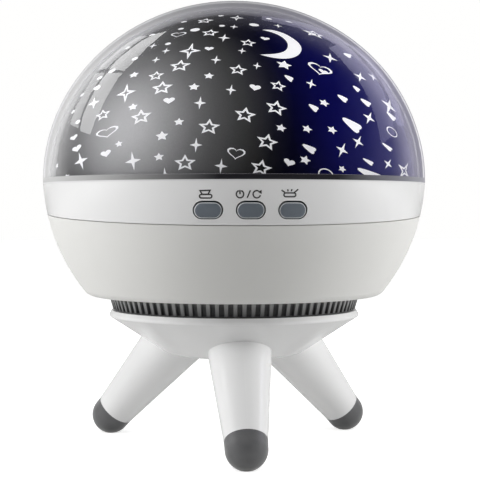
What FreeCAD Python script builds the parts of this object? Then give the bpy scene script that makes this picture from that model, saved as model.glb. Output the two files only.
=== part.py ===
import FreeCAD, Part
import math
import os

import Sketcher

# A star projector night light. A round lamp twists onto a stand with three legs. Inside it a
# motor turns a printed star dome under a clear dome, and three front buttons work the light.
# The frame: Z points up, the table is at height zero, and the buttons face -Y.

# Driving dimensions, in millimetres, degrees or counts. Each one is written here only once.
SIZES = {
    # Round housing: a ball shape cut flat below and parted into a bowl and a button band
    "body_radius": 62.6,
    "ball_rise": 4.2,
    "bowl_height": 26.9,
    "band_height": 9.3,
    "housing_wall": 2.2,
    "bowl_corner": 4.5,
    "seam_tilt": 3.3,
    "seam_gap": 0.25,
    "lip_bite": 0.9,
    "lip_reach": 0.8,
    "lip_root": 2.0,
    "lip_rise": 1.1,
    # Gaps shared by many fits
    "cut_overrun": 1.0,
    "slip_gap": 0.3,
    "fit_gap": 0.2,
    "running_gap": 0.08,
    "screw_gap": 0.05,
    # Clear dome and its seat on the band
    "dome_inset": 0.1,
    "dome_rise": 58.7,
    "dome_skirt": 1.3,
    "dome_wall": 1.6,
    "spigot_wall": 0.8,
    "spigot_height": 0.9,
    "flange_width": 10.0,
    "flange_thickness": 2.0,
    # Star dome, and the turntable that carries it
    "star_gap": 0.8,
    "star_wall": 1.2,
    "ledge_width": 3.2,
    "ledge_thickness": 1.2,
    "peg_radius": 1.0,
    "peg_inset": 1.7,
    "table_thickness": 1.6,
    "hub_wall": 3.0,
    "hub_height": 5.0,
    # Gears: the turntable's ring has its teeth inside
    "gear_module": 0.8,
    "ring_teeth": 80,
    "pinion_teeth": 16,
    "tooth_head": 0.64,
    "tooth_foot": 0.8,
    "tooth_slack": 0.12,
    "gear_rise": 0.4,
    "gear_face": 2.6,
    "gear_rim": 2.6,
    # Deck under the turntable, its bearing tube, and the lamp post on it
    "deck_inset": 4.6,
    "deck_thickness": 2.0,
    "deck_screw_inset": 4.0,
    "tube_radius": 9.0,
    "tube_bore": 5.0,
    "bush_wall": 0.9,
    "bush_flange": 3.0,
    "bush_flange_thickness": 1.0,
    "post_radius": 5.2,
    "post_bore": 3.2,
    "post_height": 9.0,
    "post_plate_radius": 13.0,
    "post_plate_thickness": 2.0,
    "post_screw_circle": 7.0,
    "column_radius": 3.0,
    # Light source
    "led_radius": 2.4,
    "led_height": 2.2,
    "led_circle": 6.5,
    "led_screw_circle": 8.8,
    "lens_radius": 12.8,
    "lens_rise": 11.0,
    "lens_wall": 1.4,
    # Circuit boards
    "board_thickness": 1.6,
    "board_corner": 2.0,
    "main_board_length": 43.4,
    "main_board_width": 40.0,
    "main_board_rise": 15.0,
    "board_margin": 1.9,
    "board_post_radius": 1.6,
    "board_post_bore": 7.0,
    "button_board_length": 46.0,
    "button_board_height": 8.0,
    "board_tab_width": 5.0,
    "board_tab_height": 7.0,
    "board_tab_spacing": 40.0,
    "chip_size": 9.0,
    "chip_height": 1.4,
    "chip_across": 11.0,
    "capacitor_radius": 3.0,
    "capacitor_height": 8.0,
    "capacitor_across": 11.0,
    "plug_width": 4.0,
    "plug_height": 3.5,
    "pair_plug_length": 6.0,
    "button_plug_length": 10.0,
    "button_plug_inset": 6.0,
    # Geared motor
    "motor_radius": 12.0,
    "motor_height": 11.0,
    "motor_ear_length": 38.0,
    "motor_ear_width": 7.0,
    "motor_ear_thickness": 1.4,
    "motor_screw_spacing": 31.0,
    "motor_boss_radius": 3.2,
    "shaft_radius": 1.5,
    "shaft_seat": 5.0,
    # Buttons and their switches
    "button_rise": 1.0,
    "button_spacing": 12.15,
    "button_length": 8.2,
    "button_width": 4.9,
    "button_proud": 0.3,
    "button_flange": 0.8,
    "button_flange_thickness": 1.2,
    "button_flange_inset": 7.2,
    "button_travel": 0.7,
    "button_stem": 0.8,
    "switch_size": 6.0,
    "switch_depth": 3.5,
    "plunger_radius": 1.7,
    "plunger_length": 2.2,
    "plunger_reach": 1.1,
    # Bowl fittings: bayonet neck with lugs, and the bosses for the long screws
    "neck_inset": 6.2,
    "neck_wall": 2.0,
    "neck_drop": 4.4,
    "lug_reach": 2.0,
    "lug_height": 1.6,
    "lug_angle": 22.0,
    "lug_play": 0.5,
    "boss_radius": 3.2,
    "boss_rise": 13.0,
    "boss_across": 26.0,
    "boss_along": 10.0,
    # Batteries: three AAA cells side by side in a box over a door
    "cell_radius": 5.25,
    "cell_length": 44.5,
    "cell_pitch": 10.8,
    "nub_radius": 1.9,
    "nub_height": 0.8,
    "box_wall": 1.5,
    "box_play": 0.3,
    "box_rib": 1.0,
    "box_rib_depth": 2.0,
    "ear_reach": 4.6,
    "ear_width": 6.0,
    "ear_height": 2.0,
    "leaf_reach": 3.2,
    "leaf_height": 6.0,
    "leaf_width": 4.0,
    "leaf_tip": 1.0,
    "leaf_thickness": 0.3,
    "contact_thickness": 0.4,
    "contact_size": 8.0,
    "door_thickness": 2.0,
    "door_overlap": 1.2,
    "door_corner": 3.0,
    "door_screw_circle": 28.3,
    "door_tab_radius": 3.0,
    "door_boss_radius": 2.2,
    "door_boss_rise": 4.0,
    # Power socket at the back
    "socket_height": 68.0,
    "socket_radius": 4.2,
    "socket_recess": 0.4,
    "socket_bore": 2.8,
    "socket_bore_depth": 9.5,
    "socket_pin": 1.0,
    "socket_pin_recess": 1.0,
    "socket_flange": 6.0,
    "socket_flange_inset": 5.2,
    "socket_flange_thickness": 1.2,
    "socket_box": 10.0,
    "socket_box_depth": 6.6,
    "socket_pad": 7.0,
    # Stand: shallow cap and ribbed grip ring
    "stand_clearance": 29.5,
    "cap_height": 14.6,
    "cap_top_radius": 40.2,
    "cap_lip_reach": 1.0,
    "cap_floor_radius": 21.5,
    "cap_lip": 1.7,
    "cap_wall": 2.2,
    "cap_edge": 0.8,
    "cap_floor_edge": 6.0,
    "cap_post_radius": 2.0,
    "cap_screw_inset": 3.9,
    "cap_screw_sink": 1.5,
    "grip_height": 4.4,
    "grip_step": 0.4,
    "grip_flare": 1.2,
    "grip_land_inset": 1.8,
    "grip_foot": 0.5,
    "rib_depth": 1.0,
    "rib_count": 92,
    "lock_thickness": 1.9,
    "lock_turn": 30.0,
    "notch_play": 0.9,
    # Legs and rubber feet
    "leg_tilt": 43.0,
    "leg_length": 43.0,
    "leg_low_radius": 6.6,
    "leg_high_radius": 11.2,
    "leg_wall": 2.0,
    "leg_bore_length": 24.0,
    "leg_boss_radius": 5.0,
    "leg_boss_start": 20.0,
    "leg_boss_reach": 39.0,
    "foot_circle": 47.0,
    "foot_radius": 6.5,
    "foot_flat": 0.35,
    "foot_length": 2.8,
    "foot_stem_length": 9.0,
    # Screws in two sizes
    "large_shank": 1.5,
    "large_head": 2.8,
    "large_head_height": 2.0,
    "small_shank": 1.0,
    "small_head": 1.6,
    "small_head_height": 1.2,
    "housing_screw_length": 20.0,
    "leg_screw_length": 12.0,
    "cap_screw_length": 6.0,
    "short_screw_length": 3.4,
    # Leads inside the lamp
    "lead_radius": 0.6,
    "lead_spacing": 2.0,
    "lead_bend": 1.4,
    "lead_clearance": 4.4,
}

LEG_ANGLES = {"front": -90, "left": 150, "right": 30}
THIRDS = (0, 120, 240)
PRESSURE_ANGLE = math.radians(20)
FLANK_POINTS = 5

doc = FreeCAD.newDocument("star_projector")
sheet = doc.addObject("Spreadsheet::Sheet", "Sizes")
for row, (name, number) in enumerate(SIZES.items(), start=1):
    sheet.set(f"A{row}", name)
    sheet.set(f"B{row}", str(number))
    sheet.setAlias(f"B{row}", name)
doc.recompute()


class Size:
    """A dimension that knows its value and the formula that ties it to the sheet."""

    def __init__(self, value, text):
        self.value = value
        self.text = text

    def __add__(self, other):
        other = as_size(other)
        return Size(self.value + other.value, f"({self.text} + {other.text})")

    def __sub__(self, other):
        other = as_size(other)
        return Size(self.value - other.value, f"({self.text} - {other.text})")

    def __mul__(self, other):
        other = as_size(other)
        return Size(self.value * other.value, f"({self.text} * {other.text})")

    def __truediv__(self, other):
        other = as_size(other)
        return Size(self.value / other.value, f"({self.text} / {other.text})")

    def __neg__(self):
        return Size(-self.value, f"(0 - {self.text})")


class NamedSizes:
    """Gives each named cell of the sheet as a Size."""

    def __getattr__(self, name):
        return Size(float(sheet.get(name)), f"Sizes.{name}")


def as_size(thing):
    return thing if isinstance(thing, Size) else Size(float(thing), repr(float(thing)))


def root(size):
    return Size(math.sqrt(size.value), f"sqrt({size.text})")


def sine(angle):
    return Size(math.sin(math.radians(angle.value)), f"sin({angle.text})")


def cosine(angle):
    return Size(math.cos(math.radians(angle.value)), f"cos({angle.text})")


S = NamedSizes()
ZERO = as_size(0)
SEAM_SLOPE = sine(S.seam_tilt) / cosine(S.seam_tilt)
LARGE = (S.large_shank, S.large_head, S.large_head_height)
SMALL = (S.small_shank, S.small_head, S.small_head_height)

# Heights above the table, stacked from the feet up
cap_bottom = S.stand_clearance
cap_top = cap_bottom + S.cap_height
cap_lip_height = cap_top - S.cap_lip
grip_top = cap_top + S.grip_height
bowl_bottom = grip_top + S.slip_gap
bowl_floor = bowl_bottom + S.housing_wall
neck_bottom = bowl_bottom - S.neck_drop
land_top = bowl_bottom - S.running_gap
lock_bottom = land_top - S.lock_thickness
lug_top = lock_bottom - S.running_gap
seam_height = bowl_bottom + S.bowl_height
rim_height = seam_height + S.band_height
button_height = seam_height + S.button_rise
ball_height = rim_height + S.ball_rise
dome_base = rim_height + S.dome_skirt
deck_top = rim_height - S.flange_thickness
deck_bottom = deck_top - S.deck_thickness
boss_top = bowl_floor + S.boss_rise
column_bottom = boss_top + S.slip_gap
main_board_bottom = bowl_floor + S.main_board_rise
main_board_top = main_board_bottom + S.board_thickness
plug_top = main_board_top + S.plug_height
gear_bottom = deck_top + S.gear_rise
table_bottom = gear_bottom + S.gear_face
table_top = table_bottom + S.table_thickness
star_bottom = rim_height + S.spigot_height + S.slip_gap
hub_bottom = deck_top + S.bush_flange_thickness + S.running_gap
hub_top = hub_bottom + S.hub_height
tube_top = hub_top + S.slip_gap
post_bottom = tube_top + S.post_plate_thickness
post_top = post_bottom + S.post_height
led_board_top = post_top + S.board_thickness

# Radii and lengths that follow from the sizes
dome_radius = S.body_radius - S.dome_inset
cover_bore = dome_radius - S.dome_wall
spigot_radius = cover_bore - S.fit_gap
spigot_bore = spigot_radius - S.spigot_wall
flange_bore = spigot_bore - S.flange_width
star_radius = cover_bore - S.star_gap
star_bore = star_radius - S.star_wall
peg_circle = star_bore - S.peg_inset
deck_radius = S.body_radius - S.deck_inset
deck_screw_circle = deck_radius - S.deck_screw_inset
button_flange_depth = S.body_radius - S.button_flange_inset
cap_radius = S.cap_top_radius + S.cap_lip_reach
cap_screw_circle = S.cap_top_radius - S.cap_screw_inset
grip_bottom_radius = S.cap_top_radius - S.grip_step
grip_top_radius = grip_bottom_radius + S.grip_flare
grip_land_radius = grip_bottom_radius - S.grip_land_inset
neck_radius = S.cap_top_radius - S.neck_inset
bush_radius = S.tube_radius + S.bush_wall
hub_bore = bush_radius + S.running_gap
hub_radius = hub_bore + S.hub_wall
gear_distance = S.gear_module * (S.ring_teeth - S.pinion_teeth) / 2
foot_centre = S.foot_radius - S.foot_flat
leg_bore = S.leg_low_radius - S.leg_wall
box_length = S.cell_length + S.leaf_reach + S.contact_thickness * 2
box_width = S.cell_pitch * 3
box_inside_top = bowl_bottom + S.cell_radius * 2 + S.box_play
cell_height = bowl_bottom + S.cell_radius


def housing_radius(height, inset=ZERO):
    """Radius at a height of the ball shape, or of a smaller ball inside it."""
    radius = S.body_radius - inset
    drop = ball_height - height
    return root(radius * radius - drop * drop)


# Small tools that build objects bound to the sheet


def bind(thing, path, size):
    thing.setExpression(path, as_size(size).text)


def place(thing, x=ZERO, y=ZERO, z=ZERO, axis=(0, 0, 1), angle=ZERO):
    """Ties an object's place to the sheet, and its turn about one axis."""
    spot = [as_size(size) for size in (x, y, z)]
    angle = as_size(angle)
    thing.Placement = FreeCAD.Placement(
        FreeCAD.Vector(*(size.value for size in spot)),
        FreeCAD.Rotation(FreeCAD.Vector(*axis), angle.value),
    )
    for letter, size in zip("xyz", spot):
        bind(thing, f"Placement.Base.{letter}", size)
    if angle.value:
        bind(thing, "Placement.Rotation.Angle", angle)
    return thing


TO_BACK = {"axis": (-1, 0, 0), "angle": 90}
DOWN = {"axis": (1, 0, 0), "angle": 180}
UP_THE_LEG = {"axis": (0, -1, 0), "angle": S.leg_tilt}


def cylinder(label, radius, height, x=ZERO, y=ZERO, z=ZERO, **turn):
    thing = doc.addObject("Part::Cylinder", label)
    bind(thing, "Radius", radius)
    bind(thing, "Height", height)
    return place(thing, x, y, z, **turn)


def cone(label, low_radius, high_radius, height, x=ZERO, y=ZERO, z=ZERO, **turn):
    thing = doc.addObject("Part::Cone", label)
    bind(thing, "Radius1", low_radius)
    bind(thing, "Radius2", high_radius)
    bind(thing, "Height", height)
    return place(thing, x, y, z, **turn)


def block(label, length, width, height, x=ZERO, y=ZERO, z=ZERO):
    """A box centred in x and y that stands on z."""
    thing = doc.addObject("Part::Box", label)
    length, width = as_size(length), as_size(width)
    bind(thing, "Length", length)
    bind(thing, "Width", width)
    bind(thing, "Height", height)
    return place(thing, as_size(x) - length / 2, as_size(y) - width / 2, z)


def ball(label, radius, x=ZERO, z=ball_height):
    thing = doc.addObject("Part::Sphere", label)
    bind(thing, "Radius", radius)
    return place(thing, x, ZERO, z)


def half_egg(label, radius, rise, z):
    """The upper half of a flattened ball."""
    thing = doc.addObject("Part::Ellipsoid", label)
    thing.Angle1 = 0
    bind(thing, "Radius1", rise)
    bind(thing, "Radius2", radius)
    bind(thing, "Radius3", radius)
    return place(thing, z=z)


def fuse(label, *things):
    made = doc.addObject("Part::MultiFuse", label)
    made.Shapes = list(things)
    return made


def common(label, *things):
    made = doc.addObject("Part::MultiCommon", label)
    made.Shapes = list(things)
    return made


def group(label, *things):
    """Several separate solids as one object."""
    made = doc.addObject("Part::Compound", label)
    made.Links = list(things)
    return made


def cut(label, base, *tools):
    made = doc.addObject("Part::Cut", label)
    made.Base = base
    made.Tool = tools[0] if len(tools) == 1 else group(f"{label}_tools", *tools)
    return made


def tube(label, radius, bore, height, z):
    """A ring about the lamp's axis."""
    outside = cylinder(f"{label}_outside", radius, height, z=z)
    inside = cylinder(f"{label}_inside", bore, height + S.cut_overrun * 2, z=z - S.cut_overrun)
    return cut(label, outside, inside)


def domed(label, radius, rise, bottom):
    """A filled dome with a short upright skirt."""
    skirt = cylinder(f"{label}_skirt", radius, dome_base - bottom, z=bottom)
    return fuse(label, skirt, half_egg(f"{label}_egg", radius, rise, dome_base))


def slab(label, length, width, height, corner, x=ZERO, y=ZERO, z=ZERO):
    """A flat block with four round corners."""
    pieces = [
        block(f"{label}_along", length, width - corner * 2, height, x, y, z),
        block(f"{label}_across", length - corner * 2, width, height, x, y, z),
    ]
    for index, (side_x, side_y) in enumerate(((-1, -1), (1, -1), (-1, 1), (1, 1))):
        corner_x = as_size(x) + (length / 2 - corner) * side_x
        corner_y = as_size(y) + (width / 2 - corner) * side_y
        pieces.append(cylinder(f"{label}_corner_{index}", corner, height, corner_x, corner_y, z))
    return fuse(label, *pieces)


def stadium(label, length, width, depth, x, y, z, grow=ZERO):
    """A bar with round ends in the front view, running back from y."""
    length, width = length + grow * 2, width + grow * 2
    straight = length - width
    bar = block(f"{label}_bar", straight, depth, width, x, y + depth / 2, z - width / 2)
    ends = [
        cylinder(f"{label}_end_{side}", width / 2, depth, x + straight / 2 * side, y, z, **TO_BACK)
        for side in (-1, 1)
    ]
    return fuse(label, bar, *ends)


def arc_block(label, bore, radius, bottom, height, middle, width):
    """A block bent round the lamp's axis, this many degrees wide."""
    slice_of_disc = doc.addObject("Part::Cylinder", f"{label}_slice")
    bind(slice_of_disc, "Radius", radius)
    bind(slice_of_disc, "Height", height)
    bind(slice_of_disc, "Angle", width)
    place(slice_of_disc, z=bottom, angle=middle - width / 2)
    core = cylinder(f"{label}_core", bore, height + S.cut_overrun * 2, z=bottom - S.cut_overrun)
    return cut(label, slice_of_disc, core)


def turned_copy(label, master, angle):
    """The same piece again, turned about the lamp's axis."""
    return place(group(label, master), angle=angle)


def around(label, master, angles=THIRDS):
    copies = [turned_copy(f"{label}_{index}", master, a) for index, a in enumerate(angles)]
    return group(label, *copies)


def screw(label, kind, length, x=ZERO, y=ZERO, z=ZERO, **turn):
    """A screw whose head sits at this place, with the shank running on from there."""
    shank, head, head_height = kind
    shank_rod = cylinder(f"{label}_shank", shank, length)
    head_disc = cylinder(f"{label}_head", head, head_height, z=-head_height)
    return place(fuse(label, shank_rod, head_disc), x, y, z, **turn)


def draw(body, plane, outline, name):
    """A closed, fully constrained sketch. Each point is (across, up), and a point that starts
    an arc also gives the arc's (radius, centre across, centre up)."""
    sketch = body.newObject("Sketcher::SketchObject", name)
    support = next(f for f in body.Origin.OriginFeatures if f.Role == plane)
    sketch.AttachmentSupport = [(support, "")]
    sketch.MapMode = "FlatFace"
    spots = [(as_size(point[0]), as_size(point[1])) for point in outline]
    vectors = [FreeCAD.Vector(across.value, up.value, 0) for across, up in spots]
    count = len(spots)
    starts, ends = [], []
    for index, point in enumerate(outline):
        here, there = vectors[index], vectors[(index + 1) % count]
        if len(point) == 2:
            sketch.addGeometry(Part.LineSegment(here, there), False)
            starts.append(1)
            ends.append(2)
            continue
        radius, across, up = (as_size(size) for size in point[2])
        centre = FreeCAD.Vector(across.value, up.value, 0)
        begin = math.atan2(here.y - centre.y, here.x - centre.x)
        finish = math.atan2(there.y - centre.y, there.x - centre.x)
        forward = (finish - begin) % (2 * math.pi) < math.pi
        circle = Part.Circle(centre, FreeCAD.Vector(0, 0, 1), radius.value)
        low, high = (begin, finish) if forward else (finish, begin)
        sketch.addGeometry(Part.ArcOfCircle(circle, low, high), False)
        starts.append(1 if forward else 2)
        ends.append(2 if forward else 1)
    for index in range(count):
        after = (index + 1) % count
        meet = Sketcher.Constraint("Coincident", index, ends[index], after, starts[after])
        sketch.addConstraint(meet)
    for index, point in enumerate(outline):
        for kind, size in zip(("DistanceX", "DistanceY"), spots[index]):
            rule = Sketcher.Constraint(kind, -1, 1, index, starts[index], size.value)
            sketch.setExpression(f"Constraints[{sketch.addConstraint(rule)}]", size.text)
        if len(point) == 3:
            radius = as_size(point[2][0])
            rule = Sketcher.Constraint("Radius", index, radius.value)
            sketch.setExpression(f"Constraints[{sketch.addConstraint(rule)}]", radius.text)
    return sketch


def turned(label, outline):
    """A body turned about the lamp's axis from an outline of (radius, height) points."""
    body = doc.addObject("PartDesign::Body", label)
    sketch = draw(body, "XZ_Plane", outline, f"{label}_outline")
    turn = body.newObject("PartDesign::Revolution", f"{label}_turn")
    turn.Profile = sketch
    turn.ReferenceAxis = (sketch, ["V_Axis"])
    turn.Angle = 360
    doc.recompute()
    return body


def plate(label, outline, width):
    """A bent plate from its side outline of (y, z) points, centred in x."""
    body = doc.addObject("PartDesign::Body", label)
    sketch = draw(body, "YZ_Plane", outline, f"{label}_outline")
    pad = body.newObject("PartDesign::Pad", f"{label}_pad")
    pad.Profile = sketch
    pad.Midplane = True
    bind(pad, "Length", width)
    doc.recompute()
    return body


def round_edge(body, radius_at, height_at, size):
    """Rounds the circular edge that lies at this radius and height."""
    near = S.running_gap.value
    for number, edge in enumerate(body.Shape.Edges, start=1):
        circle = edge.Curve
        if not isinstance(circle, Part.Circle) or abs(circle.Center.z - height_at.value) > near:
            continue
        if abs(circle.Radius - radius_at.value) < near:
            turn = body.Tip
            fillet = body.newObject("PartDesign::Fillet", f"{body.Label}_edge")
            fillet.Base = (turn, [f"Edge{number}"])
            bind(fillet, "Radius", size)
            doc.recompute()
            return
    raise RuntimeError(f"{body.Label} has no edge to round there")


def trim_at_seam(body, keep_below, lift=ZERO):
    """Cuts a body along the tilted seam plane, which is lowest at the front."""
    reach = S.body_radius + S.cut_overrun
    middle = seam_height + lift
    far = middle + reach if keep_below else middle - reach
    slope = reach * SEAM_SLOPE
    outline = [(-reach, middle - slope), (reach, middle + slope), (reach, far), (-reach, far)]
    sketch = draw(body, "YZ_Plane", outline, f"{body.Label}_seam")
    pocket = body.newObject("PartDesign::Pocket", f"{body.Label}_seam_cut")
    pocket.Profile = sketch
    pocket.Type = 1
    pocket.Midplane = True
    before = body.Shape.Volume
    doc.recompute()
    if body.Shape.Volume >= before:
        raise RuntimeError(f"{body.Label} was not cut at the seam")


def seam_ring(label, outer_inset, inner_inset, foot, rise):
    """A thin ring of the ball shape that follows the seam, from a foot below it to a rise above."""
    tilt_rise = S.body_radius * SEAM_SLOPE
    low = seam_height - tilt_rise - foot - S.cut_overrun
    high = seam_height + tilt_rise + rise + S.cut_overrun
    outer_arc = (S.body_radius - outer_inset, ZERO, ball_height)
    inner_arc = (S.body_radius - inner_inset, ZERO, ball_height)
    ring = turned(
        label,
        [
            (housing_radius(low, outer_inset), low, outer_arc),
            (housing_radius(high, outer_inset), high),
            (housing_radius(high, inner_inset), high, inner_arc),
            (housing_radius(low, inner_inset), low),
        ],
    )
    trim_at_seam(ring, True, rise)
    trim_at_seam(ring, False, -foot)
    return ring


def polar(radius, angle, height=0):
    return FreeCAD.Vector(radius * math.cos(angle), radius * math.sin(angle), height)


def shape_of(label, shape):
    """A piece whose shape comes from a formula instead of a sketch."""
    thing = doc.addObject("Part::Feature", label)
    thing.Shape = shape
    return thing


def curve_through(points):
    curve = Part.BSplineCurve()
    curve.interpolate(points)
    return curve.toShape()


def toothed_disc(teeth, tip_radius, root_radius, slack, bottom, height):
    """A spur gear with involute flanks and one tooth pointing along +X."""
    pitch_radius = S.gear_module.value * teeth / 2
    base_radius = pitch_radius * math.cos(PRESSURE_ANGLE)
    half_tooth = math.pi / (2 * teeth) - slack / (2 * pitch_radius)
    pitch_roll = math.tan(PRESSURE_ANGLE) - PRESSURE_ANGLE
    low_radius = max(base_radius, root_radius)
    spread = tip_radius - low_radius

    def flank(angle, side):
        points = []
        for step in range(FLANK_POINTS):
            radius = low_radius + spread * step / (FLANK_POINTS - 1)
            pressure = math.acos(min(1, base_radius / radius))
            roll = math.tan(pressure) - pressure
            points.append(polar(radius, angle + side * (half_tooth + pitch_roll - roll), bottom))
        return points

    def foot_of(point):
        return polar(root_radius, math.atan2(point.y, point.x), bottom)

    edges, corners = [], []
    for tooth in range(teeth):
        angle = 2 * math.pi * tooth / teeth
        rising = flank(angle, -1)
        falling = flank(angle, 1)[::-1]
        edges += [curve_through(rising), Part.makeLine(rising[-1], falling[0]), curve_through(falling)]
        if base_radius > root_radius:
            edges.append(Part.makeLine(foot_of(rising[0]), rising[0]))
            edges.append(Part.makeLine(falling[-1], foot_of(falling[-1])))
        corners.append((foot_of(rising[0]), foot_of(falling[-1])))
    for here, after in zip(corners, corners[1:] + corners[:1]):
        edges.append(Part.makeLine(here[1], after[0]))
    outline = Part.Wire(Part.__sortEdges__(edges))
    return Part.Face(outline).extrude(FreeCAD.Vector(0, 0, height))


def lead(label, *points):
    """An insulated wire through these points, with an arc at each corner."""
    spots = [FreeCAD.Vector(*(as_size(size).value for size in point)) for point in points]
    bend = S.lead_bend.value
    here = spots[0]
    edges = []
    for before, corner, after in zip(spots, spots[1:], spots[2:]):
        back = (before - corner).normalize()
        ahead = (after - corner).normalize()
        half = (math.pi - back.getAngle(ahead)) / 2
        reach = bend * math.tan(half)
        middle = corner + (back + ahead).normalize() * (bend / math.cos(half) - bend)
        start, stop = corner + back * reach, corner + ahead * reach
        edges += [Part.makeLine(here, start), Part.Arc(start, middle, stop).toShape()]
        here = stop
    edges.append(Part.makeLine(here, spots[-1]))
    section = Part.Wire(Part.makeCircle(S.lead_radius.value, spots[0], spots[1] - spots[0]))
    return shape_of(label, Part.Wire(edges).makePipeShell([section], True, False))


def on_leg(distance):
    """Where a point lies on the leg's axis, this far up from the centre of its foot."""
    return S.foot_circle - distance * sine(S.leg_tilt), foot_centre + distance * cosine(S.leg_tilt)


def leg_rod(label, radius, start, length):
    across, up = on_leg(start)
    return cylinder(label, radius, length, across, ZERO, up, **UP_THE_LEG)


# Stand: the shallow cap, with bosses for the legs and posts for the grip ring

cap_form = turned(
    "cap_form",
    [
        (ZERO, cap_bottom),
        (S.cap_floor_radius, cap_bottom),
        (cap_radius, cap_lip_height),
        (S.cap_top_radius, cap_top),
        (ZERO, cap_top),
    ],
)
cap_hollow = turned(
    "cap_hollow",
    [
        (ZERO, cap_bottom + S.cap_wall),
        (S.cap_floor_radius, cap_bottom + S.cap_wall),
        (cap_radius - S.cap_wall, cap_lip_height),
        (S.cap_top_radius - S.cap_wall, cap_top),
        (S.cap_top_radius - S.cap_wall, cap_top + S.cut_overrun),
        (ZERO, cap_top + S.cut_overrun),
    ],
)
round_edge(cap_form, cap_radius, cap_lip_height, S.cap_edge)
round_edge(cap_form, S.cap_floor_radius, cap_bottom, S.cap_floor_edge)
cap_shell = cut("cap_shell", cap_form, cap_hollow)

boss_length = S.leg_boss_reach - S.leg_boss_start
leg_boss_bar = leg_rod("leg_boss_bar", S.leg_boss_radius, S.leg_boss_start, boss_length)
leg_boss = common("leg_boss", leg_boss_bar, cap_form)
leg_screw_way = leg_rod(
    "leg_screw_way", S.large_shank + S.screw_gap, S.leg_boss_start, boss_length + S.cut_overrun
)
SCREW_TURNS = [S.lock_turn / 2 + between for between in (60, 180, 300)]
cap_post_bar = cylinder(
    "cap_post_bar", S.cap_post_radius, S.cap_height, cap_screw_circle, ZERO, cap_bottom
)
cap_post = common("cap_post", cap_post_bar, cap_form)
screw_seat = land_top - S.cap_screw_sink
cap_screw_way = cylinder(
    "cap_screw_way",
    S.small_shank + S.screw_gap,
    S.cap_screw_length + S.slip_gap + S.cut_overrun,
    cap_screw_circle,
    ZERO,
    screw_seat - S.cap_screw_length - S.slip_gap,
)
cap_screw_ways = around("cap_screw_ways", cap_screw_way, SCREW_TURNS)
base_cap = cut(
    "base_cap",
    fuse(
        "cap_blank",
        cap_shell,
        around("leg_bosses", leg_boss, LEG_ANGLES.values()),
        around("cap_posts", cap_post, SCREW_TURNS),
    ),
    around("leg_screw_ways", leg_screw_way, LEG_ANGLES.values()),
    cap_screw_ways,
)

# Legs: hollow tapered tubes shaped to the cap, each held by a screw along its axis

leg_across, leg_up = on_leg(S.foot_length)
leg_outside = cone(
    "leg_outside",
    S.leg_low_radius,
    S.leg_high_radius,
    S.leg_length,
    leg_across,
    ZERO,
    leg_up,
    **UP_THE_LEG,
)
leg_inside = leg_rod(
    "leg_inside", leg_bore, S.foot_length - S.cut_overrun, S.leg_bore_length + S.cut_overrun
)
above_cap = cylinder("above_cap", S.cap_top_radius, S.cap_height, z=cap_top - S.cut_overrun)
leg = cut("leg", leg_outside, leg_inside, leg_screw_way, cap_form, above_cap)
legs = {name: turned_copy(f"leg_{name}", leg, angle) for name, angle in LEG_ANGLES.items()}

foot_skirt = cone(
    "foot_skirt",
    S.foot_radius,
    S.leg_low_radius,
    S.foot_length,
    S.foot_circle,
    ZERO,
    foot_centre,
    **UP_THE_LEG,
)
foot_form = fuse("foot_form", ball("foot_ball", S.foot_radius, S.foot_circle, foot_centre), foot_skirt)
above_joint = leg_rod("above_joint", S.foot_radius * 2, S.foot_length, S.foot_radius * 2)
table_cut = block(
    "table_cut", S.foot_radius * 4, S.foot_radius * 4, S.foot_radius, S.foot_circle, ZERO, -S.foot_radius
)
foot_tip = cut("foot_tip", foot_form, above_joint, table_cut)
foot_stem = leg_rod(
    "foot_stem", leg_bore - S.screw_gap, ZERO, S.foot_length + S.foot_stem_length
)
foot = fuse("foot", foot_tip, foot_stem)
feet = {name: turned_copy(f"foot_{name}", foot, angle) for name, angle in LEG_ANGLES.items()}

seat_across, seat_up = on_leg(S.leg_boss_reach)
leg_screw = screw(
    "leg_screw",
    LARGE,
    S.leg_screw_length,
    seat_across,
    ZERO,
    seat_up,
    axis=(0, 1, 0),
    angle=as_size(180) - S.leg_tilt,
)
leg_screws = around("leg_screws", leg_screw, LEG_ANGLES.values())

# Grip ring: ribbed outside, with channels and notches for the three lugs of the lamp's neck


ribs_bottom = cap_top + S.grip_foot


def ribbed_cone():
    """The ribbed outside of the grip ring, slightly narrower towards the cap."""
    count = round(S.rib_count.value)
    step = 2 * math.pi / count
    groove_share = 0.27
    crest_share = 0.2
    shares = (-groove_share, -crest_share, crest_share, groove_share)
    wires = []
    for crest, height in (
        (grip_bottom_radius.value, ribs_bottom.value),
        (grip_top_radius.value, grip_top.value),
    ):
        groove = crest - S.rib_depth.value
        points = [
            polar(radius, (rib + share) * step, height)
            for rib in range(count)
            for share, radius in zip(shares, (groove, crest, crest, groove))
        ]
        wires.append(Part.makePolygon(points + points[:1]))
    return Part.makeLoft(wires, True, True)


ring_height = land_top - cap_top
channel_radius = neck_radius + S.lug_reach + S.slip_gap
grip_outside = fuse(
    "grip_outside",
    shape_of("grip_ribs", ribbed_cone()),
    cylinder("grip_foot_band", grip_bottom_radius - S.rib_depth / 2, S.grip_foot, z=cap_top),
    cylinder("grip_land", grip_land_radius, ring_height, z=cap_top),
)
grip_mouth = cylinder(
    "grip_mouth",
    neck_radius + S.slip_gap,
    ring_height + S.cut_overrun * 2,
    z=cap_top - S.cut_overrun,
)
lug_channel = arc_block(
    "lug_channel",
    neck_radius,
    channel_radius,
    cap_top - S.cut_overrun,
    lock_bottom - cap_top + S.cut_overrun,
    S.lock_turn / 2,
    S.lock_turn + S.lug_angle + S.lug_play * 2,
)
lug_notch = arc_block(
    "lug_notch",
    neck_radius,
    channel_radius,
    lock_bottom - S.cut_overrun,
    S.lock_thickness + S.cut_overrun * 2,
    S.lock_turn,
    S.lug_angle + S.notch_play * 2,
)
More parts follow.
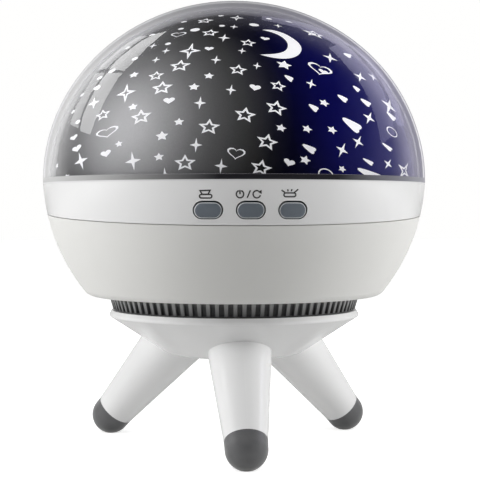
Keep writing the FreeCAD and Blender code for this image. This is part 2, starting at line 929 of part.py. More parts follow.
screw_sink = cylinder(
    "screw_sink",
    S.small_head + S.fit_gap,
    S.cap_screw_sink + S.cut_overrun,
    cap_screw_circle,
    ZERO,
    screw_seat,
)
grip_ring = cut(
    "grip_ring",
    grip_outside,
    grip_mouth,
    around("lug_channels", lug_channel),
    around("lug_notches", lug_notch),
    around("screw_sinks", screw_sink, SCREW_TURNS),
    cap_screw_ways,
)
cap_screw = screw(
    "cap_screw", SMALL, S.cap_screw_length, cap_screw_circle, ZERO, screw_seat, **DOWN
)
cap_screws = around("cap_screws", cap_screw, SCREW_TURNS)

# Bowl: the lower half of the housing, with its neck, bosses and posts

outer_arc = (S.body_radius, ZERO, ball_height)
inner_arc = (S.body_radius - S.housing_wall, ZERO, ball_height)
neck_bore = neck_radius - S.neck_wall
bowl_shell = turned(
    "bowl_shell",
    [
        (ZERO, bowl_bottom),
        (neck_bore, bowl_bottom),
        (neck_bore, neck_bottom),
        (neck_radius, neck_bottom),
        (neck_radius, bowl_bottom),
        (housing_radius(bowl_bottom), bowl_bottom, outer_arc),
        (housing_radius(rim_height), rim_height),
        (housing_radius(rim_height, S.housing_wall), rim_height, inner_arc),
        (housing_radius(bowl_floor, S.housing_wall), bowl_floor),
        (ZERO, bowl_floor),
    ],
)
round_edge(bowl_shell, housing_radius(bowl_bottom), bowl_bottom, S.bowl_corner)
trim_at_seam(bowl_shell, True, -S.seam_gap / 2)
bowl_lip = seam_ring(
    "bowl_lip",
    S.housing_wall - S.lip_bite,
    S.housing_wall + S.lip_reach,
    S.lip_root,
    S.lip_rise,
)
neck_lug = arc_block(
    "neck_lug",
    neck_radius - S.neck_wall / 2,
    neck_radius + S.lug_reach,
    lug_top - S.lug_height,
    S.lug_height,
    ZERO,
    S.lug_angle,
)

QUARTERS = {"front_left": (-1, -1), "front_right": (1, -1), "back_left": (-1, 1), "back_right": (1, 1)}
post_across = S.main_board_length / 2 - S.board_margin
post_along = S.main_board_width / 2 - S.board_margin
bosses, boss_bores, housing_screws, columns, column_bores = [], [], [], [], []
posts, post_bores, board_bores, main_board_screws = [], [], [], []
for name, (side_x, side_y) in QUARTERS.items():
    x, y = S.boss_across * side_x, S.boss_along * side_y
    bosses.append(
        cylinder(f"boss_{name}", S.boss_radius, boss_top - bowl_bottom, x, y, bowl_bottom)
    )
    boss_bores.append(
        cylinder(
            f"boss_bore_{name}",
            S.large_shank + S.fit_gap,
            boss_top - bowl_bottom + S.cut_overrun * 2,
            x,
            y,
            bowl_bottom - S.cut_overrun,
        )
    )
    housing_screws.append(
        screw(f"housing_screw_{name}", LARGE, S.housing_screw_length, x, y, bowl_bottom)
    )
    columns.append(
        cylinder(f"column_{name}", S.column_radius, deck_bottom - column_bottom, x, y, column_bottom)
    )
    column_bores.append(
        cylinder(
            f"column_bore_{name}",
            S.large_shank + S.screw_gap,
            S.housing_screw_length - S.boss_rise + S.cut_overrun,
            x,
            y,
            column_bottom - S.cut_overrun,
        )
    )
    x, y = post_across * side_x, post_along * side_y
    posts.append(
        cylinder(
            f"post_{name}", S.board_post_radius, main_board_bottom - bowl_bottom, x, y, bowl_bottom
        )
    )
    post_bores.append(
        cylinder(
            f"post_bore_{name}",
            S.small_shank + S.screw_gap,
            S.board_post_bore + S.cut_overrun,
            x,
            y,
            main_board_bottom - S.board_post_bore,
        )
    )
    board_bores.append(
        cylinder(
            f"board_bore_{name}",
            S.small_shank + S.screw_gap,
            S.board_thickness + S.cut_overrun * 2,
            x,
            y,
            main_board_bottom - S.cut_overrun,
        )
    )
    main_board_screws.append(
        screw(f"board_screw_{name}", SMALL, S.cap_screw_length, x, y, main_board_top, **DOWN)
    )

FRONT_AND_BACK = {"front": -1, "back": 1}
LEFT_AND_RIGHT = {"left": -1, "right": 1}
door_bosses, door_bores, door_tabs, door_screws = [], [], [], []
for name, side in FRONT_AND_BACK.items():
    y = S.door_screw_circle * side
    door_bosses.append(
        cylinder(
            f"door_boss_{name}",
            S.door_boss_radius,
            S.housing_wall + S.door_boss_rise,
            ZERO,
            y,
            bowl_bottom,
        )
    )
    door_bores.append(
        cylinder(
            f"door_bore_{name}",
            S.small_shank + S.screw_gap,
            S.housing_wall + S.door_boss_rise + S.door_thickness + S.cut_overrun * 2,
            ZERO,
            y,
            bowl_bottom - S.door_thickness - S.cut_overrun,
        )
    )
    door_tabs.append(
        cylinder(
            f"door_tab_{name}",
            S.door_tab_radius,
            S.door_thickness,
            ZERO,
            y,
            bowl_bottom - S.door_thickness,
        )
    )
    door_screws.append(
        screw(
            f"door_screw_{name}",
            SMALL,
            S.cap_screw_length,
            ZERO,
            y,
            bowl_bottom - S.door_thickness,
        )
    )

ear_across = box_width / 2 + S.box_wall + S.ear_reach / 2
ears, ear_bores, box_screws = [], [], []
for name, side in LEFT_AND_RIGHT.items():
    x = ear_across * side
    ears.append(block(f"ear_{name}", S.ear_reach, S.ear_width, S.ear_height, x, ZERO, bowl_floor))
    ear_bores.append(
        cylinder(
            f"ear_bore_{name}",
            S.small_shank + S.screw_gap,
            S.ear_height + S.housing_wall + S.cut_overrun * 2,
            x,
            ZERO,
            bowl_bottom - S.cut_overrun,
        )
    )
    box_screws.append(
        screw(
            f"box_screw_{name}",
            SMALL,
            S.short_screw_length,
            x,
            ZERO,
            bowl_floor + S.ear_height,
            **DOWN,
        )
    )

door_opening = block(
    "door_opening",
    box_width,
    box_length,
    S.housing_wall + S.cut_overrun * 2,
    z=bowl_bottom - S.cut_overrun,
)
socket_face = housing_radius(S.socket_height) - S.socket_recess
socket_front = socket_face - S.socket_flange_inset
pad_bar = cylinder(
    "pad_bar", S.socket_pad, S.body_radius - socket_front, ZERO, socket_front, S.socket_height, **TO_BACK
)
socket_pad = common(
    "socket_pad", pad_bar, ball("pad_ball", S.body_radius - S.housing_wall / 2)
)
socket_way = cylinder(
    "socket_way",
    S.socket_radius + S.fit_gap,
    S.body_radius - socket_front + S.cut_overrun,
    ZERO,
    socket_front - S.cut_overrun,
    S.socket_height,
    **TO_BACK,
)
bowl_blank = fuse(
    "bowl_blank",
    bowl_shell,
    bowl_lip,
    around("neck_lugs", neck_lug),
    socket_pad,
    *bosses,
    *posts,
    *door_bosses,
)
lower_housing = cut(
    "lower_housing",
    bowl_blank,
    door_opening,
    socket_way,
    *boss_bores,
    *post_bores,
    *door_bores,
    *ear_bores,
)

# Button band: the upper part of the housing, with the seat of the clear dome

band_low = seam_height - S.body_radius * SEAM_SLOPE - S.cut_overrun
band_shell = turned(
    "band_shell",
    [
        (housing_radius(band_low), band_low, outer_arc),
        (housing_radius(rim_height), rim_height),
        (spigot_radius, rim_height),
        (spigot_radius, rim_height + S.spigot_height),
        (spigot_bore, rim_height + S.spigot_height),
        (spigot_bore, rim_height),
        (flange_bore, rim_height),
        (flange_bore, deck_top),
        (housing_radius(deck_top, S.housing_wall), deck_top, inner_arc),
        (housing_radius(band_low, S.housing_wall), band_low),
    ],
)
trim_at_seam(band_shell, False, S.seam_gap / 2)
lip_room = seam_ring(
    "lip_room",
    S.housing_wall - S.lip_bite - S.fit_gap / 2,
    S.housing_wall + S.lip_reach + S.cut_overrun,
    S.lip_root,
    S.lip_rise + S.fit_gap,
)
button_y = -button_flange_depth
button_reach = S.body_radius - button_flange_depth + S.cut_overrun * 2
BUTTONS = {"left": -S.button_spacing, "middle": ZERO, "right": S.button_spacing}
button_windows = [
    stadium(
        f"button_window_{name}",
        S.button_length,
        S.button_width,
        button_reach,
        x,
        button_y - button_reach,
        button_height,
        S.fit_gap,
    )
    for name, x in BUTTONS.items()
]
DECK_SCREW_TURNS = (45, 135, 225, 315)
deck_screw_way = cylinder(
    "deck_screw_way",
    S.small_shank + S.screw_gap,
    S.deck_thickness + S.flange_thickness + S.cut_overrun * 2,
    deck_screw_circle,
    ZERO,
    deck_bottom - S.cut_overrun,
)
deck_screw_ways = around("deck_screw_ways", deck_screw_way, DECK_SCREW_TURNS)
upper_housing = cut("upper_housing", band_shell, lip_room, deck_screw_ways, *button_windows)
deck_screw = screw(
    "deck_screw", SMALL, S.short_screw_length, deck_screw_circle, ZERO, deck_bottom
)
deck_screws = around("deck_screws", deck_screw, DECK_SCREW_TURNS)

# Buttons: each one slides straight back and presses the plunger of its switch

proud_ball = ball("proud_ball", S.body_radius + S.button_proud)
stem_length = S.button_flange_thickness + S.button_stem
plunger_front = button_y + stem_length
switch_front = plunger_front + S.plunger_reach
button_board_front = switch_front + S.switch_depth
plunger_room = S.plunger_length - S.plunger_reach + S.button_travel + S.fit_gap
buttons, plungers, switches = {}, {}, {}
for name, x in BUTTONS.items():
    bar = stadium(
        f"button_bar_{name}",
        S.button_length,
        S.button_width,
        button_reach,
        x,
        button_y - button_reach + S.button_flange_thickness / 2,
        button_height,
    )
    flange = stadium(
        f"button_flange_{name}",
        S.button_length,
        S.button_width,
        S.button_flange_thickness,
        x,
        button_y,
        button_height,
        S.button_flange,
    )
    stem = cylinder(
        f"button_stem_{name}", S.plunger_radius, stem_length, x, button_y, button_height, **TO_BACK
    )
    face = common(f"button_face_{name}", bar, proud_ball)
    buttons[name] = fuse(f"button_{name}", face, flange, stem)
    plungers[name] = cylinder(
        f"plunger_{name}",
        S.plunger_radius,
        S.plunger_length,
        x,
        plunger_front,
        button_height,
        **TO_BACK,
    )
    switch_block = block(
        f"switch_block_{name}",
        S.switch_size,
        S.switch_depth,
        S.switch_size,
        x,
        switch_front + S.switch_depth / 2,
        button_height - S.switch_size / 2,
    )
    switch_bore = cylinder(
        f"switch_bore_{name}",
        S.plunger_radius + S.running_gap,
        plunger_room + S.cut_overrun,
        x,
        switch_front - S.cut_overrun,
        button_height,
        **TO_BACK,
    )
    switches[name] = cut(f"switch_{name}", switch_block, switch_bore)

button_board_back = button_board_front + S.board_thickness
tabs, tab_bores, button_board_screws = [], [], []
for name, side in LEFT_AND_RIGHT.items():
    x = S.board_tab_spacing / 2 * side
    tabs.append(
        block(
            f"tab_{name}",
            S.board_tab_width,
            S.deck_thickness,
            S.board_tab_height,
            x,
            button_board_back + S.deck_thickness / 2,
            deck_bottom - S.board_tab_height,
        )
    )
    tab_bores.append(
        cylinder(
            f"tab_bore_{name}",
            S.small_shank + S.screw_gap,
            S.board_thickness + S.deck_thickness + S.cut_overrun * 2,
            x,
            button_board_front - S.cut_overrun,
            button_height,
            **TO_BACK,
        )
    )
    button_board_screws.append(
        screw(
            f"button_board_screw_{name}",
            SMALL,
            S.short_screw_length,
            x,
            button_board_front,
            button_height,
            **TO_BACK,
        )
    )
button_board_plate = block(
    "button_board_plate",
    S.button_board_length,
    S.board_thickness,
    S.button_board_height,
    ZERO,
    button_board_front + S.board_thickness / 2,
    button_height - S.button_board_height / 2,
)
button_board = cut("button_board", button_board_plate, *tab_bores)

# Deck: carries the motor, the bearing tube and the lamp post, and hangs on the band's flange

motor_ways = [
    cylinder(
        "motor_boss_way",
        S.motor_boss_radius + S.fit_gap,
        S.deck_thickness + S.cut_overrun * 2,
        ZERO,
        gear_distance,
        deck_bottom - S.cut_overrun,
    )
]
motor_screws = []
for name, side in LEFT_AND_RIGHT.items():
    x = S.motor_screw_spacing / 2 * side
    motor_ways.append(
        cylinder(
            f"motor_screw_way_{name}",
            S.small_shank + S.screw_gap,
            S.motor_ear_thickness + S.deck_thickness + S.cut_overrun * 2,
            x,
            gear_distance,
            deck_bottom - S.motor_ear_thickness - S.cut_overrun,
        )
    )
    motor_screws.append(
        screw(
            f"motor_screw_{name}",
            SMALL,
            S.short_screw_length,
            x,
            gear_distance,
            deck_bottom - S.motor_ear_thickness,
        )
    )
post_screw_way = cylinder(
    "post_screw_way",
    S.small_shank + S.screw_gap,
    S.cap_screw_length + S.fit_gap + S.cut_overrun,
    S.post_screw_circle,
    ZERO,
    post_bottom - S.cap_screw_length - S.fit_gap,
)
post_screw_ways = around("post_screw_ways", post_screw_way)
deck_disc = cylinder("deck_disc", deck_radius, S.deck_thickness, z=deck_bottom)
deck_tube = cylinder("deck_tube", S.tube_radius, tube_top - deck_bottom, z=deck_bottom)
deck_bore = cylinder(
    "deck_bore",
    S.tube_bore,
    tube_top - deck_bottom + S.cut_overrun * 2,
    z=deck_bottom - S.cut_overrun,
)
deck = cut(
    "deck",
    fuse("deck_blank", deck_disc, deck_tube, *columns, *tabs),
    deck_bore,
    deck_screw_ways,
    post_screw_ways,
    *column_bores,
    *tab_bores,
    *motor_ways,
)
bearing_bush = turned(
    "bearing_bush",
    [
        (S.tube_radius, deck_top),
        (bush_radius + S.bush_flange, deck_top),
        (bush_radius + S.bush_flange, deck_top + S.bush_flange_thickness),
        (bush_radius, deck_top + S.bush_flange_thickness),
        (bush_radius, hub_top),
        (S.tube_radius, hub_top),
    ],
)

# Light source: a post with a round board, four lights and a clear cap over them

led_screw_way = cylinder(
    "led_screw_way",
    S.small_shank + S.screw_gap,
    S.board_thickness + S.post_plate_thickness + S.cut_overrun * 2,
    S.led_screw_circle,
    ZERO,
    post_top - S.post_plate_thickness - S.cut_overrun,
)
LIGHT_TURNS = (0, 90, 180, 270)
LED_SCREW_TURNS = (45, 225)
led_screw_ways = around("led_screw_ways", led_screw_way, LED_SCREW_TURNS)
post_tube = cylinder("post_tube", S.post_radius, S.post_height, z=post_bottom)
post_foot = cylinder(
    "post_foot", S.post_plate_radius, S.post_plate_thickness, z=post_bottom - S.post_plate_thickness
)
post_head = cylinder(
    "post_head", S.lens_radius, S.post_plate_thickness, z=post_top - S.post_plate_thickness
)
post_hollow = cylinder(
    "post_hollow", S.post_bore, post_top - tube_top + S.cut_overrun * 2, z=tube_top - S.cut_overrun
)
lamp_post = cut(
    "lamp_post",
    fuse("post_blank", post_foot, post_tube, post_head),
    post_hollow,
    post_screw_ways,
    led_screw_ways,
)
led_board = cut(
    "led_board",
    cylinder("led_board_disc", S.lens_radius, S.board_thickness, z=post_top),
    led_screw_ways,
)
one_led = cylinder("one_led", S.led_radius, S.led_height, S.led_circle, ZERO, led_board_top)
leds = around("leds", one_led, LIGHT_TURNS)
lens_bore = S.lens_radius - S.lens_wall
lamp_lens = cut(
    "lamp_lens",
    half_egg("lens_outside", S.lens_radius, S.lens_rise, led_board_top),
    half_egg("lens_inside", lens_bore, S.lens_rise - S.lens_wall, led_board_top),
)
post_screw = screw("post_screw", SMALL, S.cap_screw_length, S.post_screw_circle, ZERO, post_bottom, **DOWN)
led_screw = screw("led_screw", SMALL, S.short_screw_length, S.led_screw_circle, ZERO, led_board_top, **DOWN)
lamp_screws = group(
    "lamp_screws", around("post_screws", post_screw), around("led_screws", led_screw, LED_SCREW_TURNS)
)

# Drive: a geared motor under the deck, its pinion, and the turntable with the star dome

shaft_low = deck_bottom - S.shaft_seat
motor_can = cylinder(
    "motor_can", S.motor_radius, S.motor_height, ZERO, gear_distance, deck_bottom - S.motor_height
)
motor_ear_plate = block(
    "motor_ear_plate",
    S.motor_ear_length,
    S.motor_ear_width,
    S.motor_ear_thickness,
    ZERO,
    gear_distance,
    deck_bottom - S.motor_ear_thickness,
)
motor_boss = cylinder(
    "motor_boss", S.motor_boss_radius, S.deck_thickness, ZERO, gear_distance, deck_bottom
)
shaft_room = cylinder(
    "shaft_room",
    S.shaft_radius + S.running_gap,
    S.shaft_seat + S.slip_gap + S.deck_thickness + S.cut_overrun,
    ZERO,
    gear_distance,
    shaft_low - S.slip_gap,
)
gear_motor = cut(
    "gear_motor",
    fuse("motor_blank", motor_can, motor_ear_plate, motor_boss),
    shaft_room,
    *motor_ways[1:],
)
pinion_bottom = deck_top + S.slip_gap
pinion_top = table_bottom - S.slip_gap
motor_shaft = cylinder(
    "motor_shaft", S.shaft_radius, pinion_top - shaft_low, ZERO, gear_distance, shaft_low
)
pinion_pitch = S.gear_module * S.pinion_teeth / 2
pinion_teeth = place(
    shape_of(
        "pinion_teeth",
        toothed_disc(
            round(S.pinion_teeth.value),
            (pinion_pitch + S.tooth_head).value,
            (pinion_pitch - S.tooth_foot).value,
            S.tooth_slack.value,
            0,
            (pinion_top - pinion_bottom).value,
        ),
    ),
    ZERO,
    gear_distance,
    pinion_bottom,
)
pinion = cut(
    "pinion",
    pinion_teeth,
    cylinder(
        "pinion_bore",
        S.shaft_radius,
        S.gear_face + S.cut_overrun,
        ZERO,
        gear_distance,
        pinion_bottom - S.cut_overrun / 2,
    ),
)

ring_pitch = S.gear_module * S.ring_teeth / 2
ring_spaces = place(
    shape_of(
        "ring_spaces",
        toothed_disc(
            round(S.ring_teeth.value),
            (ring_pitch + S.tooth_foot).value,
            (ring_pitch - S.tooth_head).value,
            -S.tooth_slack.value,
            0,
            (S.gear_face + S.cut_overrun).value,
        ),
    ),
    z=gear_bottom - S.cut_overrun,
)
ring_gear = cut(
    "ring_gear",
    cylinder("ring_rim", ring_pitch + S.tooth_foot + S.gear_rim, S.gear_face, z=gear_bottom),
    ring_spaces,
)
table_radius = star_bore - S.fit_gap
table_disc = turned(
    "table_disc",
    [
        (hub_bore, hub_bottom),
        (hub_radius, hub_bottom),
        (hub_radius, table_bottom),
        (table_radius, table_bottom),
        (table_radius, table_top),
        (hub_radius, table_top),
        (hub_radius, hub_top),
        (hub_bore, hub_top),
    ],
)
peg_way = cylinder(
    "peg_way",
    S.peg_radius + S.screw_gap,
    S.table_thickness + S.cut_overrun * 2,
    peg_circle,
    ZERO,
    table_bottom - S.cut_overrun,
)
turntable = cut(
    "turntable", fuse("table_blank", table_disc, ring_gear), around("peg_ways", peg_way)
)
cover_inside_rise = S.dome_rise - S.dome_wall
star_rise = cover_inside_rise - S.star_gap
star_shell = cut(
    "star_shell",
    domed("star_outside", star_radius, star_rise, star_bottom),
    domed("star_inside", star_bore, star_rise - S.star_wall, star_bottom - S.cut_overrun),
)
star_ledge = tube(
    "star_ledge",
    star_bore + S.star_wall / 2,
    star_bore - S.ledge_width,
    S.ledge_thickness,
    table_top,
)
peg = cylinder(
    "peg", S.peg_radius, S.table_thickness + S.ledge_thickness / 2, peg_circle, ZERO, table_bottom
)
star_dome = fuse("star_dome", star_shell, star_ledge, around("pegs", peg))
dome_cover = cut(
    "dome_cover",
    domed("cover_outside", dome_radius, S.dome_rise, rim_height),
    domed("cover_inside", cover_bore, cover_inside_rise, rim_height - S.cut_overrun),
)

# Main board with its parts

main_board = cut(
    "main_board",
    slab(
        "main_board_plate",
        S.main_board_length,
        S.main_board_width,
        S.board_thickness,
        S.board_corner,
        z=main_board_bottom,
    ),
    *board_bores,
)
motor_plug_y = gear_distance - S.motor_radius - S.plug_width
button_plug_y = S.button_plug_inset - S.main_board_width / 2
board_parts = group(
    "board_parts",
    block(
        "chip",
        S.chip_size,
        S.chip_size,
        S.chip_height,
        S.chip_across,
        -S.chip_size / 2,
        main_board_top,
    ),
    cylinder(
        "capacitor",
        S.capacitor_radius,
        S.capacitor_height,
        -S.capacitor_across,
        S.capacitor_radius,
        main_board_top,
    ),
    block(
        "button_plug",
        S.button_plug_length,
        S.plug_width,
        S.plug_height,
        ZERO,
        button_plug_y,
        main_board_top,
    ),
    block("lamp_plug", S.pair_plug_length, S.plug_width, S.plug_height, z=main_board_top),
    block(
        "motor_plug",
        S.pair_plug_length,
        S.plug_width,
        S.plug_height,
        ZERO,
        motor_plug_y,
        main_board_top,
    ),
)

# Battery box with three cells, their contacts, and the door under them

box_shell = block(
    "box_shell",
    box_width + S.box_wall * 2,
    box_length + S.box_wall * 2,
    box_inside_top + S.box_wall - bowl_floor,
    z=bowl_floor,
)
box_room = block(
    "box_room", box_width, box_length, box_inside_top - bowl_bottom, z=bowl_bottom
)
box_ribs = [
    block(
        f"box_rib_{name}",
        S.box_rib,
        box_length - (S.contact_thickness + S.slip_gap) * 2,
        S.box_rib_depth,
        S.cell_pitch / 2 * side,
        ZERO,
        box_inside_top - S.box_rib_depth,
    )
    for name, side in LEFT_AND_RIGHT.items()
]
wire_ways = [
    cylinder(
        f"wire_way_{name}",
        S.lead_radius + S.fit_gap,
        S.box_wall + S.cut_overrun * 2,
        S.cell_pitch * side,
        (box_length / 2 + S.box_wall / 2) * side - S.box_wall / 2 - S.cut_overrun,
        cell_height,
        **TO_BACK,
    )
    for name, side in FRONT_AND_BACK.items()
]
box_blank = fuse("box_blank", cut("box_hollowed", box_shell, box_room), *box_ribs, *ears)
battery_box = cut("battery_box", box_blank, *ear_bores, *wire_ways)


SLOTS = {"left": (-1, 1), "middle": (0, -1), "right": (1, 1)}
contact_y = box_length / 2 - S.contact_thickness / 2
inside_end = box_length / 2 - S.contact_thickness
leaf_half = S.leaf_height / 2
leaf_inner_half = leaf_half - S.leaf_thickness * 2
leaf_inner_reach = S.leaf_reach - S.leaf_thickness
leaf_spring = plate(
    "leaf_spring",
    [
        (ZERO, -leaf_half),
        (S.leaf_reach, -S.leaf_tip / 2),
        (S.leaf_reach, S.leaf_tip / 2),
        (ZERO, leaf_half),
        (ZERO, leaf_inner_half),
        (leaf_inner_reach, S.leaf_tip / 4),
        (leaf_inner_reach, -S.leaf_tip / 4),
        (ZERO, -leaf_inner_half),
    ],
    S.leaf_width,
)
cells, springs = {}, []
for name, (slot, way) in SLOTS.items():
    x = S.cell_pitch * slot
    tip_y = -inside_end if way > 0 else inside_end
    turn = TO_BACK if way > 0 else {"axis": (1, 0, 0), "angle": 90}
    nub = cylinder(f"nub_{name}", S.nub_radius, S.nub_height + S.cut_overrun, x, tip_y, cell_height, **turn)
    can = cylinder(
        f"can_{name}",
        S.cell_radius,
        S.cell_length - S.nub_height,
        x,
        tip_y + S.nub_height * way,
        cell_height,
        **turn,
    )
    cells[name] = fuse(f"cell_{name}", can, nub)
    spring = group(f"spring_{name}", leaf_spring)
    facing = 180 if way > 0 else 0
    springs.append(place(spring, x, inside_end * way, cell_height, angle=facing))

contact_low = cell_height - S.contact_size / 2
pair_width = S.contact_size + S.cell_pitch
battery_contacts = group(
    "battery_contacts",
    block(
        "plate_single_front",
        S.contact_size,
        S.contact_thickness,
        S.contact_size,
        -S.cell_pitch,
        -contact_y,
        contact_low,
    ),
    block(
        "plate_pair_front",
        pair_width,
        S.contact_thickness,
        S.contact_size,
        S.cell_pitch / 2,
        -contact_y,
        contact_low,
    ),
    block(
        "plate_pair_back",
        pair_width,
        S.contact_thickness,
        S.contact_size,
        -S.cell_pitch / 2,
        contact_y,
        contact_low,
    ),
    block(
        "plate_single_back",
        S.contact_size,
        S.contact_thickness,
        S.contact_size,
        S.cell_pitch,
        contact_y,
        contact_low,
    ),
    *springs,
)
door_plate = slab(
    "door_plate",
    box_width + S.door_overlap * 2,
    box_length + S.door_overlap * 2,
    S.door_thickness,
    S.door_corner,
    z=bowl_bottom - S.door_thickness,
)
door_bar = block(
    "door_bar",
    S.door_tab_radius * 2,
    S.door_screw_circle * 2,
    S.door_thickness,
    z=bowl_bottom - S.door_thickness,
)
door_blank = fuse("door_blank", door_plate, door_bar, *door_tabs)
battery_door = cut("battery_door", door_blank, *door_bores)

# Power socket at the back of the bowl

socket_back = socket_front - S.socket_flange_thickness - S.socket_box_depth
socket_barrel = cylinder(
    "socket_barrel",
    S.socket_radius,
    socket_face - socket_back,
    ZERO,
    socket_back,
    S.socket_height,
    **TO_BACK,
)
socket_rim = cylinder(
    "socket_rim",
    S.socket_flange,
    S.socket_flange_thickness,
    ZERO,
    socket_front - S.socket_flange_thickness,
    S.socket_height,
    **TO_BACK,
)
socket_case = block(
    "socket_case",
    S.socket_box,
    S.socket_box_depth,
    S.socket_box,
    ZERO,
    socket_back + S.socket_box_depth / 2,
    S.socket_height - S.socket_box / 2,
)
socket_hollow = cylinder(
    "socket_hollow",
    S.socket_bore,
    S.socket_bore_depth + S.cut_overrun,
    ZERO,
    socket_face - S.socket_bore_depth,
    S.socket_height,
    **TO_BACK,
)
power_socket = cut(
    "power_socket", fuse("socket_blank", socket_barrel, socket_rim, socket_case), socket_hollow
)
socket_pin = cylinder(
    "socket_pin",
    S.socket_pin,
    S.socket_bore_depth - S.socket_pin_recess,
    ZERO,
    socket_face - S.socket_bore_depth,
    S.socket_height,
    **TO_BACK,
)

# Leads from the main board to the lights, motor, buttons, socket and batteries

lead_low = (box_inside_top + S.box_wall + main_board_bottom) / 2
lead_high = plug_top + S.plug_height
pair = [S.lead_spacing / 2 * side for side in (-1, 1)]
row = [S.lead_spacing / 2 * step for step in (-3, -1, 1, 3)]
lamp_leads = group(
    "lamp_leads",
    *(lead(f"lamp_lead_{i}", (x, ZERO, plug_top), (x, ZERO, post_top)) for i, x in enumerate(pair)),
)
motor_side = gear_distance - S.motor_radius
motor_leads = group(
    "motor_leads",
    *(
        lead(
            f"motor_lead_{i}",
            (x, motor_side, lead_high),
            (x, motor_plug_y, lead_high),
            (x, motor_plug_y, plug_top),
        )
        for i, x in enumerate(pair)
    ),
)
button_leads = group(
    "button_leads",
    *(
        lead(
            f"button_lead_{i}",
            (x, button_board_back, lead_high),
            (x, button_plug_y, lead_high),
            (x, button_plug_y, plug_top),
        )
        for i, x in enumerate(row)
    ),
)
socket_lead_y = motor_side
socket_leads = group(
    "socket_leads",
    *(
        lead(
            f"socket_lead_{i}",
            (x, socket_back, lead_low),
            (x, socket_lead_y, lead_low),
            (x, socket_lead_y, main_board_bottom),
        )
        for i, x in enumerate(pair)
    ),
)
box_end = box_length / 2
lead_out = box_end + S.box_wall + S.lead_clearance / 2
front_x, back_x = -S.cell_pitch, S.cell_pitch
pad_y = post_along - S.lead_spacing
side_x = S.motor_radius + S.lead_clearance
battery_leads = group(
    "battery_leads",
    lead(
        "battery_lead_front",
        (front_x, -box_end, cell_height),
        (front_x, -lead_out, cell_height),
        (front_x, -lead_out, lead_high),
        (front_x, -pad_y, lead_high),
        (front_x, -pad_y, main_board_top),
    ),
    lead(
        "battery_lead_back",
        (back_x, box_end, cell_height),
        (back_x, lead_out, cell_height),
        (side_x, lead_out, cell_height),
        (side_x, lead_out, lead_high),
        (side_x, pad_y, lead_high),
        (side_x, pad_y, main_board_top),
    ),
)

# Every separate piece, checked and written to its own file

PIECES = [
    base_cap,
    *legs.values(),
    *feet.values(),
    leg_screws,
    grip_ring,
    cap_screws,
    lower_housing,
    upper_housing,
    group("housing_screws", *housing_screws),
    deck,
    deck_screws,
    bearing_bush,
    lamp_post,
    led_board,
    leds,
    lamp_lens,
    lamp_screws,
    gear_motor,
    group("motor_screws", *motor_screws),
    motor_shaft,
    pinion,
    turntable,
    star_dome,
    dome_cover,
    main_board,
    group("main_board_screws", *main_board_screws),
    board_parts,
    button_board,
    group("button_board_screws", *button_board_screws),
    *buttons.values(),
    *plungers.values(),
    *switches.values(),
    battery_box,
    group("box_screws", *box_screws),
    *cells.values(),
    battery_contacts,
    battery_door,
    group("door_screws", *door_screws),
    power_socket,
    socket_pin,
    lamp_leads,
    motor_leads,
    button_leads,
    socket_leads,
    battery_leads,
]

doc.recompute()
for thing in doc.Objects:
    if "Invalid" in thing.State or "Error" in thing.State:
        raise RuntimeError(f"{thing.Label} failed to build")
os.makedirs("parts", exist_ok=True)
for piece in PIECES:
    shape = piece.Shape
    if shape.isNull() or not shape.isValid() or not shape.Solids:
        raise RuntimeError(f"{piece.Label} has no sound solid")
    shape.exportStep(f"parts/{piece.Label}.step")
    print(piece.Label, len(shape.Solids), round(shape.Volume, 1))
print(len(PIECES), "pieces written")
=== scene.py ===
# %% [markdown]
# # A star lamp for a dark room
#
# This lamp throws stars on the ceiling. Under a clear dome sits a printed dome that turns
# slowly, and below them are a white band with three buttons, a round white bowl, a ribbed
# grey ring and a low cap on three legs with rubber feet.
# The hard parts come ready made from the CAD model, in metres, each in its own place. What is
# left to Blender is what CAD doesn't hold: the printed figures, the signs over the buttons,
# every finish, the lights and the camera.
# We load the model first.

# %% Load the lamp
import math
import random

import bmesh
import bpy
from mathutils import Matrix, Vector


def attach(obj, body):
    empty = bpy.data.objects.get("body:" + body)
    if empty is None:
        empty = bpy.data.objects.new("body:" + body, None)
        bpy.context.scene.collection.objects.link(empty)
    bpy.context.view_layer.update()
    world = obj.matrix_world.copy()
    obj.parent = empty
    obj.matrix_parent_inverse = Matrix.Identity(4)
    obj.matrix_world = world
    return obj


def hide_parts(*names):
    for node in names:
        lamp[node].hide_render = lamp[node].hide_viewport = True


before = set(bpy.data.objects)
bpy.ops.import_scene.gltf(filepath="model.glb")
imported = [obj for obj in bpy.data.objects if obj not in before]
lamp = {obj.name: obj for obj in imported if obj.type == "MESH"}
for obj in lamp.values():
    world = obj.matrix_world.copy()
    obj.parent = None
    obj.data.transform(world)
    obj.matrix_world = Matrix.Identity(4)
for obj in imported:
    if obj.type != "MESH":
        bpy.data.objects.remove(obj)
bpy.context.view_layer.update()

# %% [markdown]
# ## The camera
#
# The photograph was taken level with the table, from far away and a little to the left, so
# the ring is seen edge on and the three legs spread evenly. A long lens far away gives such
# flat, calm proportions. A camera tilted down would also fit the lamp in the picture, but
# its upright lines would lean, so the camera stays level and the picture is shifted instead.

# %% Set the camera up
MM = 0.001
CAMERA_TURN = math.radians(-4.5)
CAMERA_AWAY = 433 * MM
CAMERA_HEIGHT = 76.7 * MM
LENS_LENGTH = 98.25
PICTURE_SHIFT = (0.0125, -0.0625)
NEAREST_SEEN = 10 * MM
TO_VIEWER = Vector((math.sin(CAMERA_TURN), -math.cos(CAMERA_TURN), 0))
VIEW_RIGHT = Vector((math.cos(CAMERA_TURN), math.sin(CAMERA_TURN), 0))


def placed(name, content):
    """Puts a camera, a lamp or a mesh into the scene."""
    thing = bpy.data.objects.new(name, content)
    bpy.context.scene.collection.objects.link(thing)
    return thing


